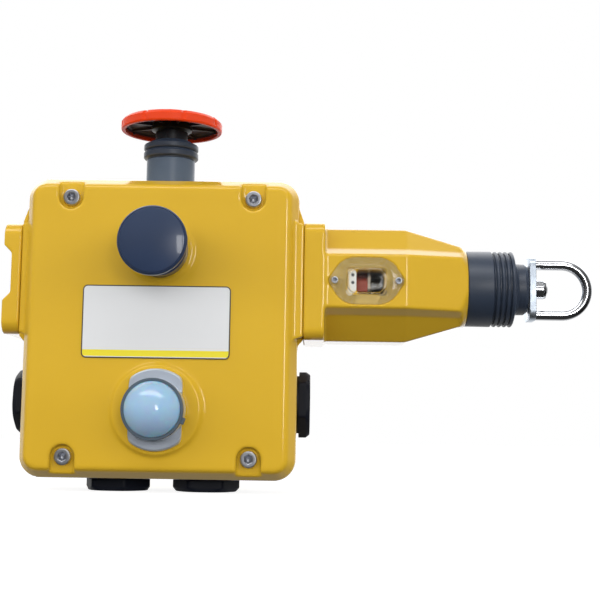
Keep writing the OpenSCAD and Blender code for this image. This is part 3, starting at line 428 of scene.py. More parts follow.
def face_weighted(mesh):
    """Lets large flat faces keep their own shade beside small rounded edges."""
    for face in mesh.polygons:
        face.use_smooth = True
    helper = add_object("helper", mesh)
    weigh = helper.modifiers.new("weigh", "WEIGHTED_NORMAL")
    weigh.weight, weigh.keep_sharp = 100, False
    done = settled(helper)
    bpy.data.objects.remove(helper)
    return done


def dress(name, mesh, stands_for, finish=None, bends=None, crisp=True):
    """Turns a mesh in metres into a piece that stands for CAD nodes and rides on their body, or stays fixed
    where it is when bends are given.
    """
    lead = stands_for[0]
    if crisp:
        mesh = face_weighted(mesh)
    else:
        for face in mesh.polygons:
            face.use_smooth = True
    mesh.materials.clear()
    mesh.materials.append(FINISHES[finish or SLOT_OF[lead]].material)
    mesh.name = name
    made = add_object(name, mesh)
    if bends:
        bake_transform(made)
    else:
        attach(made, BODY_OF[lead])
    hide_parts(*stands_for)


def eased(corners, closed=False, ease=0.25, steps=4):
    """A line of (radius, height) whose corners are rounded, each by its own third value or by ease."""
    line = []
    for i, corner in enumerate(corners):
        here = Vector(corner[:2])
        size = corner[2] if len(corner) > 2 else ease
        if size == 0 or (not closed and i in (0, len(corners) - 1)):
            line.append(tuple(here))
            continue
        back = Vector(corners[i - 1][:2]) - here
        on = Vector(corners[(i + 1) % len(corners)][:2]) - here
        reach = min(size / max(math.tan(back.angle(on) / 2), 1e-3), back.length * 0.49, on.length * 0.49)
        first, last = here + back.normalized() * reach, here + on.normalized() * reach
        for k in range(steps + 1):
            t = k / steps
            line.append(tuple(first.lerp(here, t).lerp(here.lerp(last, t), t)))
    return line


def cut_radius(radius, angle, sides, across, crisp=26):
    """Radius of a turned form that is cut by flats, with the corners between them softened."""
    if not sides:
        return radius
    total = (1 / radius) ** crisp if radius > 1e-6 else 0
    for k in range(sides):
        lean = math.cos(angle - (2 * k + 1) * math.pi / sides)
        if lean > 0.05:
            total += (lean / (across / 2)) ** crisp
    return min(radius, total ** (-1 / crisp))


def from_mm(place):
    """A place that takes millimetres and gives metres."""
    return place @ Matrix.Diagonal((MM, MM, MM, 1))


def turned(line, place, closed=False, around=96, shape=None):
    """Mesh of a line turned round local Z and put in place. shape(radius, height, angle) may reshape it."""
    verts, rings = [], []
    for radius, height in line:
        if radius < 1e-6:
            rings.append([len(verts)] * around)
            verts.append((0, 0, height))
            continue
        rings.append(list(range(len(verts), len(verts) + around)))
        for k in range(around):
            angle = 2 * math.pi * k / around
            r = shape(radius, height, angle) if shape else radius
            verts.append((r * math.cos(angle), r * math.sin(angle), height))
    faces = []
    pairs = list(zip(rings, rings[1:])) + ([(rings[-1], rings[0])] if closed else [])
    for low, high in pairs:
        for k in range(around):
            n = (k + 1) % around
            corners = [low[k], low[n], high[n], high[k]]
            corners = [c for i, c in enumerate(corners) if c != corners[i - 1]]
            if len(corners) > 2:
                faces.append(corners)
    mesh = bpy.data.meshes.new("turned")
    mesh.from_pydata(verts, [], faces)
    mesh.transform(from_mm(place))
    mesh.validate()
    return mesh


def joined(*meshes):
    bm = bmesh.new()
    for mesh in meshes:
        bm.from_mesh(mesh)
    both = bpy.data.meshes.new("joined")
    bm.to_mesh(both)
    bm.free()
    return both


def block(size, centre, place, edge=0.3):
    """A small box with rounded edges, in millimetres, put in place."""
    bm = bmesh.new()
    bmesh.ops.create_cube(bm, size=1)
    bmesh.ops.scale(bm, vec=size, verts=bm.verts)
    bmesh.ops.translate(bm, vec=centre, verts=bm.verts)
    bmesh.ops.bevel(bm, geom=bm.edges[:], offset=edge, segments=3, affect="EDGES", profile=0.5)
    mesh = bpy.data.meshes.new("block")
    bm.to_mesh(mesh)
    bm.free()
    mesh.transform(from_mm(place))
    return mesh


def crown(reach, rise, top, radii):
    """Points of a shallow ball that rises that much over its reach and ends at the top."""
    ball = (reach * reach + rise * rise) / (2 * rise)
    return [(r, top - ball + math.sqrt(ball * ball - r * r), 0) for r in radii]


def on_rope(x):
    """Local Z runs along the rope, local X towards the wall, local Y up."""
    turn = Matrix(((0, 0, 1), (1, 0, 0), (0, 1, 0))).to_4x4()
    return Matrix.Translation((x * MM, ROPE_Y * MM, 0)) @ turn


def on_lid(x, depth, z):
    """Local Z runs out of the lid, local X right and local Y up."""
    turn = Matrix(((1, 0, 0), (0, 0, -1), (0, 1, 0))).to_4x4()
    return Matrix.Translation((x * MM, -depth * MM, z * MM)) @ turn


def upright(z):
    """Local Z runs up through the stop button."""
    return Matrix.Translation((0, ROPE_Y * MM, z * MM))


def skinned(source, voxel, rounds, keep=1.0, cutters=()):
    """A copy of a CAD node with its sharp edges worn round, as a cast or moulded piece has them."""
    mesh = NODES[source].data.copy()
    bm = bmesh.new()
    bm.from_mesh(mesh)
    bmesh.ops.remove_doubles(bm, verts=bm.verts, dist=2e-6)
    bm.to_mesh(mesh)
    bm.free()
    helper = add_object("helper", mesh)
    for cutter in cutters:
        cut = helper.modifiers.new("cut", "BOOLEAN")
        cut.operation, cut.solver, cut.object = "DIFFERENCE", "EXACT", cutter
    skin = helper.modifiers.new("skin", "REMESH")
    skin.mode, skin.voxel_size, skin.use_smooth_shade = "VOXEL", voxel * MM, True
    ease = helper.modifiers.new("ease", "SMOOTH")
    ease.factor, ease.iterations = 0.5, rounds
    if keep < 1:
        thin = helper.modifiers.new("thin", "DECIMATE")
        thin.ratio = keep
    done = settled(helper)
    bpy.data.objects.remove(helper)
    return done


# ---- Geometry trees for what repeats or follows a path ----

def new_tree(name, inputs):
    tree = bpy.data.node_groups.new(name, "GeometryNodeTree")
    for label, kind in [("Geometry", "Geometry"), *inputs, ("Finish", "Material")]:
        tree.interface.new_socket(label, in_out="INPUT", socket_type="NodeSocket" + kind)
    tree.interface.new_socket("Geometry", in_out="OUTPUT", socket_type="NodeSocketGeometry")
    entry = tree.nodes.new("NodeGroupInput")
    return tree, {s.name: Wire(tree, entry, s.name) for s in tree.interface.items_tree if s.in_out == "INPUT"}


def end_tree(tree, given, shape):
    """Makes a tree's shape plain, smooth and finished, and gives it out."""
    real = node(tree, "GeometryNodeRealizeInstances", values={0: shape})
    smooth = node(tree, "GeometryNodeSetShadeSmooth", values={0: real})
    faced = node(tree, "GeometryNodeSetMaterial", values={0: smooth, "Material": given["Finish"]})
    tree.links.new(faced.socket, tree.nodes.new("NodeGroupOutput").inputs[0])
    return tree


def swept(tree, path, radius, sides=12):
    """A round bar along a path."""
    profile = node(tree, "GeometryNodeCurvePrimitiveCircle", values={"Resolution": sides, "Radius": radius})
    sockets = {"Curve": path, "Profile Curve": profile, "Fill Caps": True}
    return node(tree, "GeometryNodeCurveToMesh", values=sockets)


def copies_tree():
    """Copies of one made thing on points, each turned the way its point says and spun a little."""
    tree, given = new_tree("copies", [("Master", "Object"), ("Spin", "Float"), ("Seed", "Int")])
    master = node(tree, "GeometryNodeObjectInfo", values={0: given["Master"]}, out="Geometry")
    facing = node(tree, "GeometryNodeInputNamedAttribute", {"data_type": "FLOAT_VECTOR"}, {"Name": "facing"})
    way = node(tree, "FunctionNodeEulerToRotation", values={0: facing})
    placed = node(tree, "GeometryNodeInstanceOnPoints",
                  values={"Points": given["Geometry"], "Instance": master, "Rotation": way})
    amount = node(tree, "FunctionNodeRandomValue", {"data_type": "FLOAT"},
                  {2: 0.0, 3: given["Spin"], "Seed": given["Seed"]}, out=1)
    turn = node(tree, "ShaderNodeCombineXYZ", values={2: amount})
    spun = node(tree, "GeometryNodeRotateInstances", values={"Instances": placed, "Rotation": turn})
    return end_tree(tree, given, spun)


def coil_tree():
    """A round wire wound into a spring whose end turns lie closer."""
    labels, closeness = ("Outer Radius", "Wire", "Length", "Turns"), 0.7
    tree, given = new_tree("coil", [(label, "Float") for label in labels])
    radius = given["Outer Radius"] - given["Wire"] / 2
    path = node(tree, "GeometryNodeCurveSpiral", values={
        "Resolution": 40, "Rotations": given["Turns"], "Start Radius": radius, "End Radius": radius,
        "Height": given["Length"] - given["Wire"]})
    x = node(tree, "ShaderNodeSeparateXYZ", values={0: node(tree, "GeometryNodeInputPosition")}, out="X")
    along = node(tree, "GeometryNodeSplineParameter", out="Factor")
    close = along - (along * (2 * math.pi)).sine() * (closeness / (2 * math.pi))
    height = given["Wire"] / 2 + close * (given["Length"] - given["Wire"])
    spot = node(tree, "ShaderNodeCombineXYZ", values={0: x, 1: x.other("Y"), 2: height})
    moved = node(tree, "GeometryNodeSetPosition", values={0: path, "Position": spot})
    return end_tree(tree, given, swept(tree, moved, given["Wire"] / 2))


def rings_tree():
    """A row of equal round rings along local Z."""
    tree, given = new_tree("rings", [("Count", "Int"), ("Pitch", "Float"), ("Ring Radius", "Float"),
                                     ("Band Radius", "Float"), ("Band Stretch", "Float")])
    step = node(tree, "ShaderNodeCombineXYZ", values={2: given["Pitch"]})
    row = node(tree, "GeometryNodeMeshLine", values={"Count": given["Count"], "Offset": step})
    sockets = {"Resolution": 96, "Radius": given["Ring Radius"]}
    loop = node(tree, "GeometryNodeCurvePrimitiveCircle", values=sockets)
    band = swept(tree, loop, given["Band Radius"], 16)
    scale = node(tree, "ShaderNodeCombineXYZ", values={0: 1.0, 1: 1.0, 2: given["Band Stretch"]})
    sockets = {"Points": row, "Instance": band, "Scale": scale}
    placed = node(tree, "GeometryNodeInstanceOnPoints", values=sockets)
    return end_tree(tree, given, placed)


def bar_tree():
    """A round bar that follows the curve it is given."""
    tree, given = new_tree("bar", [("Bar Radius", "Float")])
    return end_tree(tree, given, swept(tree, given["Geometry"], given["Bar Radius"], 28))


COPIES, COIL, RINGS, BAR = copies_tree(), coil_tree(), rings_tree(), bar_tree()


def grown(tree, finish, start=None, **values):
    """Runs a tree and gives the plain mesh that it makes."""
    helper = add_object("helper", start or bpy.data.meshes.new("empty"))
    grow = helper.modifiers.new("grow", "NODES")
    grow.node_group = tree
    wanted = {"Finish": FINISHES[finish].material, **{k.replace("_", " "): v for k, v in values.items()}}
    for socket in tree.interface.items_tree:
        if socket.in_out == "INPUT" and socket.name in wanted:
            grow[socket.identifier] = wanted[socket.name]
    done = settled(helper)
    bpy.data.objects.remove(helper)
    return done


def points_mesh(places):
    """A mesh of points that carry the way each copy faces."""
    mesh = bpy.data.meshes.new("points")
    mesh.from_pydata([tuple(p.to_translation()) for p in places], [], [])
    facing = mesh.attributes.new("facing", "FLOAT_VECTOR", "POINT")
    for item, place in zip(facing.data, places):
        item.vector = tuple(place.to_euler())
    return mesh


def copied(master, places, finish, spin, seed):
    """One mesh with a copy of the master at each place, each turned by a random share of the spin."""
    holder = add_object("master", master)
    done = grown(COPIES, finish, points_mesh(places), Master=holder, Spin=spin, Seed=seed)
    bpy.data.objects.remove(holder)
    return done


# ---- Castings ----

def wedge(outlines):
    """The smallest solid round outlines of (x, depth from the rope, height)."""
    bm = bmesh.new()
    for x, depth, z in outlines:
        bm.verts.new((x * MM, (ROPE_Y - depth) * MM, z * MM))
    made = bmesh.ops.convex_hull(bm, input=bm.verts)
    bmesh.ops.delete(bm, geom=list(set(made["geom_interior"] + made["geom_unused"])), context="VERTS")
    bmesh.ops.recalc_face_normals(bm, faces=bm.faces)
    mesh = bpy.data.meshes.new("wedge")
    bm.to_mesh(mesh)
    bm.free()
    return add_object("wedge", mesh)


def arm_skin():
    """The arm, with its front face standing proud between steep sides that run on down the taper."""
    start = span("arm_screws")[1].x + 4.2
    bend, nose = start + 42, span("rod_boot")[0].x - 3
    face_z, foot_z, step, clear = 13.5, 17.1, 6.8, 3
    face_d, nose_d, back_d, far_z = 29.6, 21.4, -4, 46

    def beside(x, front, side):
        """What is taken away at x, above or below a face that stands that far from the rope."""
        lean = (foot_z - face_z) / step * clear
        foot = front - step
        line = [(face_z - lean, front + clear), (foot_z, foot), (foot_z + foot - back_d, back_d),
                (far_z, back_d), (far_z, front + clear)]
        return [(x, depth, side * z) for z, depth in line]

    cutters = []
    for side in (-1, 1):
        cutters.append(wedge(beside(start + 0.01, face_d, side) + beside(bend, face_d, side)))
        cutters.append(wedge(beside(bend, face_d, side) + beside(nose, nose_d, side)))
    mesh = skinned("arm_housing", 0.7, 4, 0.6, cutters)
    for cutter in cutters:
        bpy.data.objects.remove(cutter)
    return mesh


dress("box_casting", skinned("body", 1.0, 4, 0.45), ["body"])
dress("lid_casting", skinned("lid", 0.8, 4, 0.7), ["lid"])
dress("arm_casting", arm_skin(), ["arm_housing"])
dress("end_casting", skinned("end_cover", 0.7, 4), ["end_cover"])


# ---- Screws ----

def socket_screw(shank_r, shank_l, head_r, head_h, socket_w, rounding):
    """A round head on local Z = 0 with a hexagon socket, and a threaded shank below it."""
    depth = head_h * 0.35
    cup = socket_w / 2 / math.cos(math.pi / 6)
    pitch = max(0.5, shank_r * 0.32)
    turns = int((shank_l - 1) / pitch)
    thread = []
    for k in range(turns):
        low = -shank_l + 0.6 + k * pitch
        thread += [(shank_r * 0.86, low), (shank_r, low + pitch * 0.5)]
    head = eased([(shank_r * 0.9, -0.3, 0), (head_r, 0, 0.15), (head_r, head_h, rounding),
                  (cup + 0.35, head_h, 0.1), (cup, head_h - 0.3, 0.05), (cup, depth, 0.1), (0, depth - 0.3)])
    line = [(0, -shank_l), (shank_r * 0.75, -shank_l), *thread, *head]

    def shape(radius, height, angle):
        if height >= depth - 0.01 and radius <= cup + 0.4:
            return cut_radius(radius, angle, 6, socket_w + 2 * max(0, radius - cup), 40)
        return radius
    return turned(line, Matrix.Identity(4), around=48, shape=shape)


def screw_set(name, stands_for, shank_r, head_r, head_h, socket_w, seed, rounding=0.5, corners=True):
    """Socket screws in the corners of the space that their node fills, or one at each end of it."""
    low, high = span(stands_for)
    heights = (low.z + head_r, high.z - head_r) if corners else (middle(stands_for).z,)
    places = [on_lid(x, -low.y - head_h, z) for x in (low.x + head_r, high.x - head_r) for z in heights]
    screw = socket_screw(shank_r, high.y - low.y - head_h, head_r, head_h, socket_w, rounding)
    dress(name, copied(screw, places, "zinc_screw", 1.0, seed), [stands_for])


screw_set("lid_screw_set", "lid_screws", 2.45, 4.25, 2.8, 4.0, 5, rounding=0.9)
screw_set("window_screw_set", "window_screws", 1.15, 1.8, 1.5, 1.5, 2, corners=False)
screw_set("plate_screw_set", "plate_screws", 1.85, 3.6, 2.6, 2.5, 3)


def clamp_screw():
    """A cheese head with a square socket."""
    head_r, head_h, cup_r, cup_w, floor_h = 2.2, 2.0, 1.3, 2.0, 1.3
    line = eased([(0, 0), (head_r, 0, 0.1), (head_r, head_h, 0.4), (cup_r, head_h, 0.1), (0.9, floor_h, 0.2),
                  (0, floor_h)])

    def shape(radius, height, angle):
        in_socket = radius < cup_r + 0.05 and height > floor_h - 0.1
        return cut_radius(radius, angle, 4, cup_w, 12) if in_socket else radius
    return turned(line, Matrix.Identity(4), around=32, shape=shape)


low, high = span("terminal_screws")
ways, pitch, rows = 8, 9, (low.z + 2.2, high.z - 2.2)
places = [on_lid((i - (ways - 1) / 2) * pitch, -high.y, z) for i in range(ways) for z in rows]
dress("terminal_screw_set", copied(clamp_screw(), places, "zinc_screw", 1.5, 4), ["terminal_screws"])


# ---- Springs ----

def coil_piece(name, stands_for, outer, wire, turns, place, length, bends):
    """A coil that fills its node's length and stays fixed where it is. Its radius and wire are in
    millimetres, its length in metres.
    """
    made = grown(COIL, SLOT_OF[stands_for], Outer_Radius=outer * MM, Wire=wire * MM, Length=length,
                 Turns=float(turns))
    made.transform(place)
    dress(name, made, [stands_for], bends=bends, crisp=False)


low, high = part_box("main_spring")
coil_piece("main_coil", "main_spring", 13, 3.2, 7, on_rope(low.x / MM), high.x - low.x,
           ("pull_shaft", "housing", (low.x + 0.002, ROPE_Y * MM, 0), (high.x - 0.002, ROPE_Y * MM, 0)))
low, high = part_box("estop_spring")
coil_piece("stop_coil", "estop_spring", 8.4, 1.5, 5, upright(low.z / MM), high.z - low.z,
           ("housing", "stop_head", (0, ROPE_Y * MM, low.z + 0.001), (0, ROPE_Y * MM, high.z - 0.001)))
low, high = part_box("reset_spring")
coil_piece("reset_coil", "reset_spring", 9.4, 1.2, 3, on_lid(RESET.x, -high.y / MM, RESET.z), high.y - low.y,
           ("housing", "reset_head", (0, high.y - 0.001, RESET.z * MM), (0, low.y + 0.001, RESET.z * MM)))


# ---- Window ----

def hull_ring(circles, inset, height, count=96):
    """Outline round some circles of (x, y, radius), pulled in by an inset."""
    ring = []
    for k in range(count):
        angle = 2 * math.pi * (k + 0.5) / count
        way = Vector((math.cos(angle), math.sin(angle)))
        x, y, r = max(circles, key=lambda c: c[0] * way.x + c[1] * way.y + c[2])
        r = max(r - inset, 0.01)
        ring.append((x + way.x * r, y + way.y * r, height))
    return ring


def stacked(rings, place):
    """Skin over a stack of equal rings, closed at both ends."""
    count = len(rings[0])
    verts = [v for ring in rings for v in ring]
    last = len(verts) - count
    faces = [tuple(reversed(range(count))), tuple(range(last, last + count))]
    for low in range(0, last, count):
        for k in range(count):
            n = (k + 1) % count
            faces.append((low + k, low + n, low + count + n, low + count + k))
    mesh = bpy.data.meshes.new("stacked")
    mesh.from_pydata(verts, [], faces)
    mesh.transform(from_mm(place))
    return mesh


def soft_box(width, height, corner):
    x, y = width / 2 - corner, height / 2 - corner
    return [(side * x, end * y, corner) for side in (-1, 1) for end in (-1, 1)]


def window_dome():
    """Clear cover: a lozenge flange with a raised oval that is hollow from behind."""
    centre, back_d = middle("window_cover"), -span("window_cover")[1].y
    lozenge = [(s * 16.2, 0, 3.2) for s in (-1, 1)] + [(s * 5.5, 0, 12.25) for s in (-1, 1)]
    oval, room = soft_box(26.4, 19.4, 9), soft_box(20.4, 13.6, 5.5)
    hollow = [(room, 4.5, 2.7), (room, 1.6, 2.6), (room, 0.6, 2.3), (room, 0.15, 1.6), (room, 0, 0)]
    flange = [(lozenge, 0.3, 0), (lozenge, 0.3, 1.4), (lozenge, 0.45, 1.7), (lozenge, 0.8, 1.8)]
    raised = [(oval, -0.2, 1.8), (oval, 0.1, 2.1), (oval, 0.35, 2.8), (oval, 0.9, 3.5), (oval, 1.9, 4.05),
              (oval, 3.2, 4.3), (oval, 5.5, 4.38)]
    return stacked([hull_ring(*ring) for ring in hollow + flange + raised], on_lid(centre.x, back_d, 0))


dress("window_dome", window_dome(), ["window_cover"])
dress("tension_strip", skinned("tension_scale", 0.15, 3), ["tension_scale"], finish="tension_card")
dress("red_flag", skinned("tension_flag", 0.3, 3), ["tension_flag"])
dress("white_stripe", skinned("flag_stripe", 0.2, 2), ["flag_stripe"], finish="cam_plastic")


# ---- Rod, boot and rope eye ----

# The shaft carries a collar behind its spring and a thread for the nut.
low, high = span("pull_rod")
seat_back, plate_x = span("spring_seat")[0].x, span("eye_plate")[0].x
pitch, root_r, crest_r = 1.0, 2.72, 3.0
thread, thread_x = [], plate_x + 0.4
while thread_x < high.x - 0.9:
    thread += [(root_r, thread_x), (crest_r, thread_x + pitch / 2)]
    thread_x += pitch
rod = eased([(0, low.x), (5, low.x, 0.8), (5, seat_back - 4, 0.1), (8, seat_back - 4, 0.5),
             (8, seat_back, 0.5), (5, seat_back, 0.1), (5, plate_x - 0.2, 0.5), (3, plate_x - 0.2, 0)],
            ease=0.3)
rod += thread + [(2.3, high.x - 0.1), (0, high.x)]
dress("pull_shaft_bar", turned(rod, on_rope(0), around=64), ["pull_rod"])

# The boot is a stiff sleeve with ribs round it and a folded nose that closes round the shaft.
low, high = span("rod_boot")
r, tall = (high.z - low.z) / 2, high.x - low.x
sleeve_l, ribs, rib_step, rib_r = 13.49, 4, 2.74, 1.25
core = [(16.35, 0, 0.3), (r - 0.1, 0, 0.5), (r, sleeve_l - 0.3, 0.4), (r - 1.5, sleeve_l + 0.3, 0.4),
        (r - 1.5, 24.5, 0.5), (r - 3.4, 25.3, 0.9), (14.3, 26.1, 0.8), (13.55, 26.9, 0.8), (13.45, 30.7, 0.5),
        (12.4, tall, 0.4), (5.2, tall, 0.3), (5.2, 28.8, 0.3), (11.4, 28.8, 0.5), (11.4, 24.5, 0.8),
        (16.35, 22.5, 0.6)]
tube = turned(eased(core, closed=True), on_rope(low.x), closed=True, around=128)
bands = grown(RINGS, "boot_rubber", Count=ribs, Pitch=rib_step * MM, Ring_Radius=(r - rib_r) * MM,
              Band_Radius=rib_r * MM, Band_Stretch=0.82)
bands.transform(on_rope(low.x + sleeve_l + 2.0))
dress("rubber_boot", joined(tube, bands), ["rod_boot"], crisp=False,
      bends=("housing", "pull_shaft", ((low.x + 12) * MM, ROPE_Y * MM, 0),
             (plate_x * MM - 0.003, ROPE_Y * MM, 0)))

dress("eye_carrier", skinned("eye_plate", 0.28, 4), ["eye_plate"], finish="plate_zinc")

# The eye is a bar bent through half a turn, with both ends in the plate.
low, high = span("rope_eye")
half, bar = (high.z - low.z) / 2 - 2.75, 2.75
bend_x = high.x - bar - half
path = bpy.data.curves.new("eye_path", "CURVE")
path.dimensions = "3D"
spline = path.splines.new("POLY")
route = [(low.x, half), (low.x + 2, half), (bend_x - 4, half)]
route += [(bend_x + half * math.sin(a), half * math.cos(a)) for a in (math.pi * k / 40 for k in range(41))]
route += [(bend_x - 4, -half), (low.x + 2, -half), (low.x, -half)]
spline.points.add(len(route) - 1)
for point, (x, z) in zip(spline.points, route):
    point.co = (x * MM, ROPE_Y * MM, z * MM, 1)
eye = grown(BAR, "bright_zinc", path, Bar_Radius=bar * MM)
dress("bent_eye", eye, ["rope_eye"], crisp=False)

# The nut clamps the plate against the shaft and has a round collar on its far face.
low, high = span("eye_nut")
hex_w, tall = 10.0, high.x - low.x
nut = eased([(3.2, 0.4, 0.1), (3.9, 0, 0.1), (5.9, 0, 0.1), (6.3, tall * 0.7, 0.1), (4.9, tall * 0.74, 0.1),
             (4.6, tall - 0.5, 0.2), (3.9, tall - 0.3, 0.3), (3.2, tall - 0.6, 0.1)], closed=True)


def nut_shape(radius, height, angle):
    """Six flats, with the corners turned down towards both faces."""
    cone = 5.05 + min(height, tall * 0.7 - height) * 1.9
    return min(cut_radius(radius, angle, 6, hex_w, 60), max(cone, 3)) if radius > 4.95 else radius


dress("lock_nut", turned(nut, on_rope(low.x), closed=True, around=120, shape=nut_shape), ["eye_nut"])


# ---- Stop mushroom ----

# The cap is a shallow dome over a hollow that eight webs cross.
low, high = span("estop_cap")
cap_z, cap_r, tall = low.z, (high.x - low.x) / 2, high.z - low.z
cap = eased([(0, 3.9), (11, 3.9, 1), (cap_r - 3.2, 3.6, 1.5), (cap_r - 2.5, 1.2, 0.6),
             (cap_r - 2.2, 0.0, 0.5), (cap_r - 0.3, 0, 0.7), (cap_r, 0.9, 0.5), (cap_r, 4.4, 1.0),
             (cap_r - 1.7, 6.15, 1.6), *crown(cap_r - 2, 5.6, tall, (22, 18, 13.5, 9, 4.5)), (0, tall)],
            ease=0.3, steps=6)


def grip(radius, height, angle):
    """Shallow grooves over the rim."""
    grooves, groove_d, half_w, first = 8, 0.85, 0.85, math.radians(20)
    if height < 1.2 or radius < cap_r - 3.2:
        return radius
    turn = ((angle - first) * grooves / (2 * math.pi) + 0.5) % 1 - 0.5
    away = abs(turn) * 2 * math.pi / grooves * cap_r
    return radius - groove_d * math.exp(-(away / half_w) ** 4)


webs = [block((cap_r - 12, 1.3, 1.8), ((cap_r + 10) / 2 - 0.7, 0, 3.4),
              upright(cap_z) @ Matrix.Rotation(math.pi * (k + 0.5) / 4, 4, "Z")) for k in range(8)]
dress("mushroom", joined(turned(cap, upright(cap_z), around=240, shape=grip), *webs), ["estop_cap"])

# The hub widens into the hollow, and the stem runs down from it through the sleeve.
low, high = span("estop_hub")
hub_z, tall = low.z, high.z - low.z
rise = cap_z - hub_z
hub = eased([(0, 0), (8.6, 0, 0.4), (8.6, rise - 0.4, 0.3), (10.9, rise + 0.6, 0.4), (10.9, tall, 0.2),
             (0, tall)])
dress("mushroom_hub", turned(hub, upright(hub_z)), ["estop_hub"])

low, high = span("estop_stem")
stem = eased([(0, 0), (5, 0, 0.8), (5, high.z - low.z, 0.3), (0, high.z - low.z)])
dress("stop_stem", turned(stem, upright(low.z), around=48), ["estop_stem"])

# The bellows have two folds between the sleeve and the hub's neck.
low, high = span("estop_bellows")
tall, r, neck = high.z - low.z, (high.x - low.x) / 2, 8.6
outside = [(r - 1.7, 0), (r - 1.7, 0.06), (r - 0.4, 0.09), (r, 0.14), (r, 0.36), (r - 0.4, 0.41),
           (r - 1.3, 0.44), (r - 1.3, 0.48), (r - 0.4, 0.51), (r, 0.56), (r, 0.75), (r - 0.5, 0.8),
           (neck + 2.8, 0.91), (neck + 2.6, 0.95), (neck + 1.4, 1), (neck + 0.2, 1)]
inside = [(neck + 0.2, 0.86), (r - 3, 0.72), (r - 1.6, 0.66), (r - 1.6, 0.58), (r - 2.9, 0.5),
          (r - 2.9, 0.42), (r - 1.6, 0.34), (r - 1.6, 0.2), (r - 3.2, 0.12), (9.4, 0.1), (9.4, 0)]
bellows = [(radius, share * tall) for radius, share in outside + inside]
dress("stop_bellows", turned(eased(bellows, closed=True), upright(low.z), closed=True, around=120),
      ["estop_bellows"], crisp=False,
      bends=("housing", "stop_head", (0, ROPE_Y * MM, (low.z + 0.6) * MM),
             (0, ROPE_Y * MM, (high.z - 0.6) * MM)))

# The sleeve guides the stem, holds its spring and rests on the box with a wider part.
low, high = span("estop_sleeve")
ledge = span("body")[1].z - low.z
tall, floor_h = high.z - low.z, span("estop_spring")[0].z - low.z - 0.2
sleeve = [(5.05, 0, 0.2), (10.6, 0, 0.4), (11, 0.6, 0.2), (11, ledge, 0.1), (12.5, ledge, 0.3),
          (12.9, ledge + 0.8, 0.4), (12.9, tall, 0.6), (9.0, tall, 0.5), (9.0, floor_h, 0.4),
          (5.05, floor_h, 0.2)]
dress("guide_sleeve", turned(eased(sleeve, closed=True), upright(low.z), closed=True), ["estop_sleeve"])


# ---- Reset button ----

# The button has a fine groove near the edge of its shallow dome.
low, high = span("reset_button")
back_d, front_d = -high.y, -low.y
tall, r = front_d - back_d, (high.x - low.x) / 2
head = tall - 6.5
button = eased([(0, 0), (10.5, 0, 0.3), (10.5, head, 0.4), (r - 1.3, head, 0.6), (r, head + 1.2, 0.8),
                (r, tall - 2.9, 0.7), (r - 0.8, tall - 2.0, 0.3), (r - 1.05, tall - 2.3, 0.1),
                (r - 1.35, tall - 1.72, 0.15), *crown(r - 1, 1.8, tall, (14.5, 12, 9, 6, 3)), (0, tall)],
               ease=0.3, steps=6)
dress("button_head", turned(button, on_lid(RESET.x, back_d, RESET.z), around=160), ["reset_button"])

# The bezel is a ring on the lid with a tube behind it that guides the button.
low, high = span("reset_bezel")
tall, shoulder, ring_r = high.y - low.y, LID_D + 0.8 + high.y, 14.2
bezel = [(4.05, 0, 0.2), (10.6, 0, 0.4), (11, 0.6, 0.2), (11, shoulder, 0.1), (ring_r - 0.3, shoulder, 0.2),
         (ring_r, shoulder + 0.4, 0.3), (ring_r, tall, 0.8), (10.55, tall, 0.4), (10.55, tall - 12, 0.3),
         (4.05, tall - 12, 0.2)]
ring = turned(eased(bezel, closed=True), on_lid(RESET.x, -high.y, RESET.z), closed=True, around=128)
dress("button_bezel", ring, ["reset_bezel"])


# ---- Beacon ----

# The base is a plate with two straight sides, and a round ring on it.
low, high = span("beacon_base")
base_back, base_front = -high.y, -low.y
plate_back, plate_r, half = LID_D + 2, (high.z - low.z) / 2, 13.3
ring_r = (high.x - low.x) / 2
at, top = plate_back - base_back, base_front - base_back


def base_shape(radius, height, angle):
    """The plate has straight sides; the ring on it is round."""
    if radius > half - 0.2 and height < at + 3.005:
        side = half / max(abs(math.cos(angle)), 1e-4)
        return (radius ** -24 + side ** -24) ** (-1 / 24)
    return radius


base = [(4, 0, 0.2), (12, 0, 0.3), (12, at, 0.05), (plate_r, at, 0.2), (plate_r - 0.2, at + 2.2, 0.6),
        (plate_r - 0.9, at + 3, 0.5), (ring_r, at + 3, 0), (ring_r, at + 3.02, 0), (ring_r, top, 0.2),
        (13.9, top, 0.1), (13.9, at + 4, 0.2), (4, at + 4, 0.2)]
seat = on_lid(BEACON.x, base_back, BEACON.z)
dress("beacon_ring", turned(eased(base, closed=True), seat, closed=True, around=180, shape=base_shape),
      ["beacon_base"])

# The gasket has a small tab that shows beside the dome.
low, high = span("beacon_seal")
seat, top = on_lid(BEACON.x, -high.y, BEACON.z), high.y - low.y
seal = eased([(13.9, 0, 0.15), (ring_r, 0, 0.15), (ring_r, top, 0.4), (13.9, top, 0.3)], closed=True)
tab_h, tab_place = top - 0.6, seat @ Matrix.Rotation(math.radians(-20), 4, "Z")
tab = block((3.0, 3.4, tab_h), (15.5, 0, tab_h / 2), tab_place)
dress("beacon_gasket", joined(turned(seal, seat, closed=True, around=128), tab), ["beacon_seal"],
      finish="beacon_slate")

# The dome is a thin shell: a short straight foot, then part of a ball.
low, high = span("beacon_lens")
r, tall, foot, wall = (high.x - low.x) / 2, high.y - low.y, 4.0, 1.6
rise = tall - foot
ball = (r * r + rise * rise) / (2 * rise)


def ball_line(ball_r, reach, steps):
    """Points of a ball round the dome's middle, from its top out to a reach."""
    end = math.asin(min(reach / ball_r, 1))
    turns = [end * k / steps for k in range(steps + 1)]
    return [(ball_r * math.sin(a), tall - ball + ball_r * math.cos(a)) for a in turns]


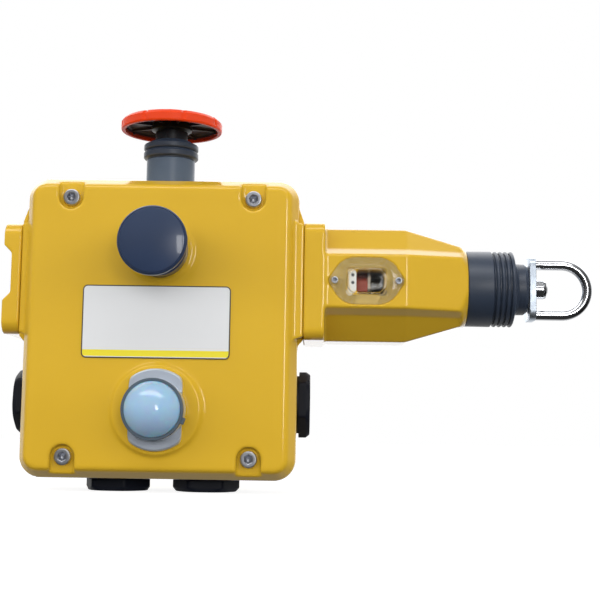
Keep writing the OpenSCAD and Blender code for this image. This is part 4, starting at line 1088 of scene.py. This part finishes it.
dome = ball_line(ball - wall, r - wall, 16)
dome += [(r - wall, 0), (r - 0.2, 0), (r, 0.2), *reversed(ball_line(ball, r, 24))]
dress("beacon_dome", turned(dome, on_lid(BEACON.x, -high.y, BEACON.z), around=128), ["beacon_lens"])

# Six small lamps stand in a circle under the dome.
lamp_line = eased([(0, 0), (2.2, 0, 0.1), (2.2, 1.7, 0.3), (1.75, 1.8, 0.1), (1.7, 2.4, 1.0), (1.1, 3.4, 1.0),
                   (0, 3.6)])
lamp = turned(lamp_line, Matrix.Identity(4), around=32)
back_d, circle_r = -span("beacon_leds")[1].y, 7.5
turns = [math.pi * k / 3 for k in range(6)]
places = [on_lid(BEACON.x + circle_r * math.cos(a), back_d, BEACON.z + circle_r * math.sin(a)) for a in turns]
dress("beacon_lamps", copied(lamp, places, "led_white", 0, 1), ["beacon_leds"])


# ---- Conduit plugs ----

def plug():
    """Hexagon head with worn corners and a dished face, over a threaded shank."""
    shank, seal_t, tall, across, corner = 12.0, 0.8, 6.6, 30.7, 17.7
    pitch, root_r, crest_r = 1.5, 11.6, 12.4
    thread = []
    for k in range(7):
        low = -shank + 0.8 + k * pitch
        thread += [(root_r, low), (crest_r, low + pitch / 2)]
    line = [(0, -1.0), (9.5, -1.0), (9.5, -shank), (11.2, -shank), *thread, (crest_r, -0.2)]
    line += eased([(12.45, 0, 0), (12.45, seal_t, 0), (corner, seal_t, 0.4), (corner, tall - 2.1, 0.9),
                   (corner - 2.1, tall, 1.0), (12.0, tall, 0.6), (11.4, tall - 0.7, 0.4), (0, tall - 0.7)],
                  ease=0.3, steps=5)

    def shape(radius, height, angle):
        soft = 0.5 * max(0, height - tall + 1.0) ** 2
        if height > seal_t - 0.1 and radius > 13:
            return cut_radius(radius, angle, 6, across - 2 * soft, 60)
        return radius
    return turned(line, Matrix.Identity(4), around=180, shape=shape)


def entry(x, z, angle, axis, spin):
    """A place on the casting's wall at the rope's depth, facing out of it and spun by some degrees."""
    facing = Matrix.Translation((x * MM, ROPE_Y * MM, z * MM)) @ Matrix.Rotation(angle, 4, axis)
    return facing @ Matrix.Rotation(math.radians(spin), 4, "Z")


# Two plugs point down and one points out of each side; each is turned by its own angle.
low, high = span("plug_seals")
seal_t, seal_r = 0.8, 15.05
places = []
for side in (-1, 1):
    places.append(entry(side * 23.1, low.z + seal_t, math.pi, "X", 3.7 - 6.7 * side))
    places.append(entry(side * (high.x - seal_t), high.z - seal_r, side * math.pi / 2, "Y", -8.3 * side))
dress("entry_plugs", copied(plug(), places, "plug_black", 0, 1), ["conduit_plugs"])


# ---- The rest of the CAD pieces take their finish ----

for name, thing in NODES.items():
    thing.data.materials.clear()
    thing.data.materials.append(FINISHES[SLOT_OF[name]].material)
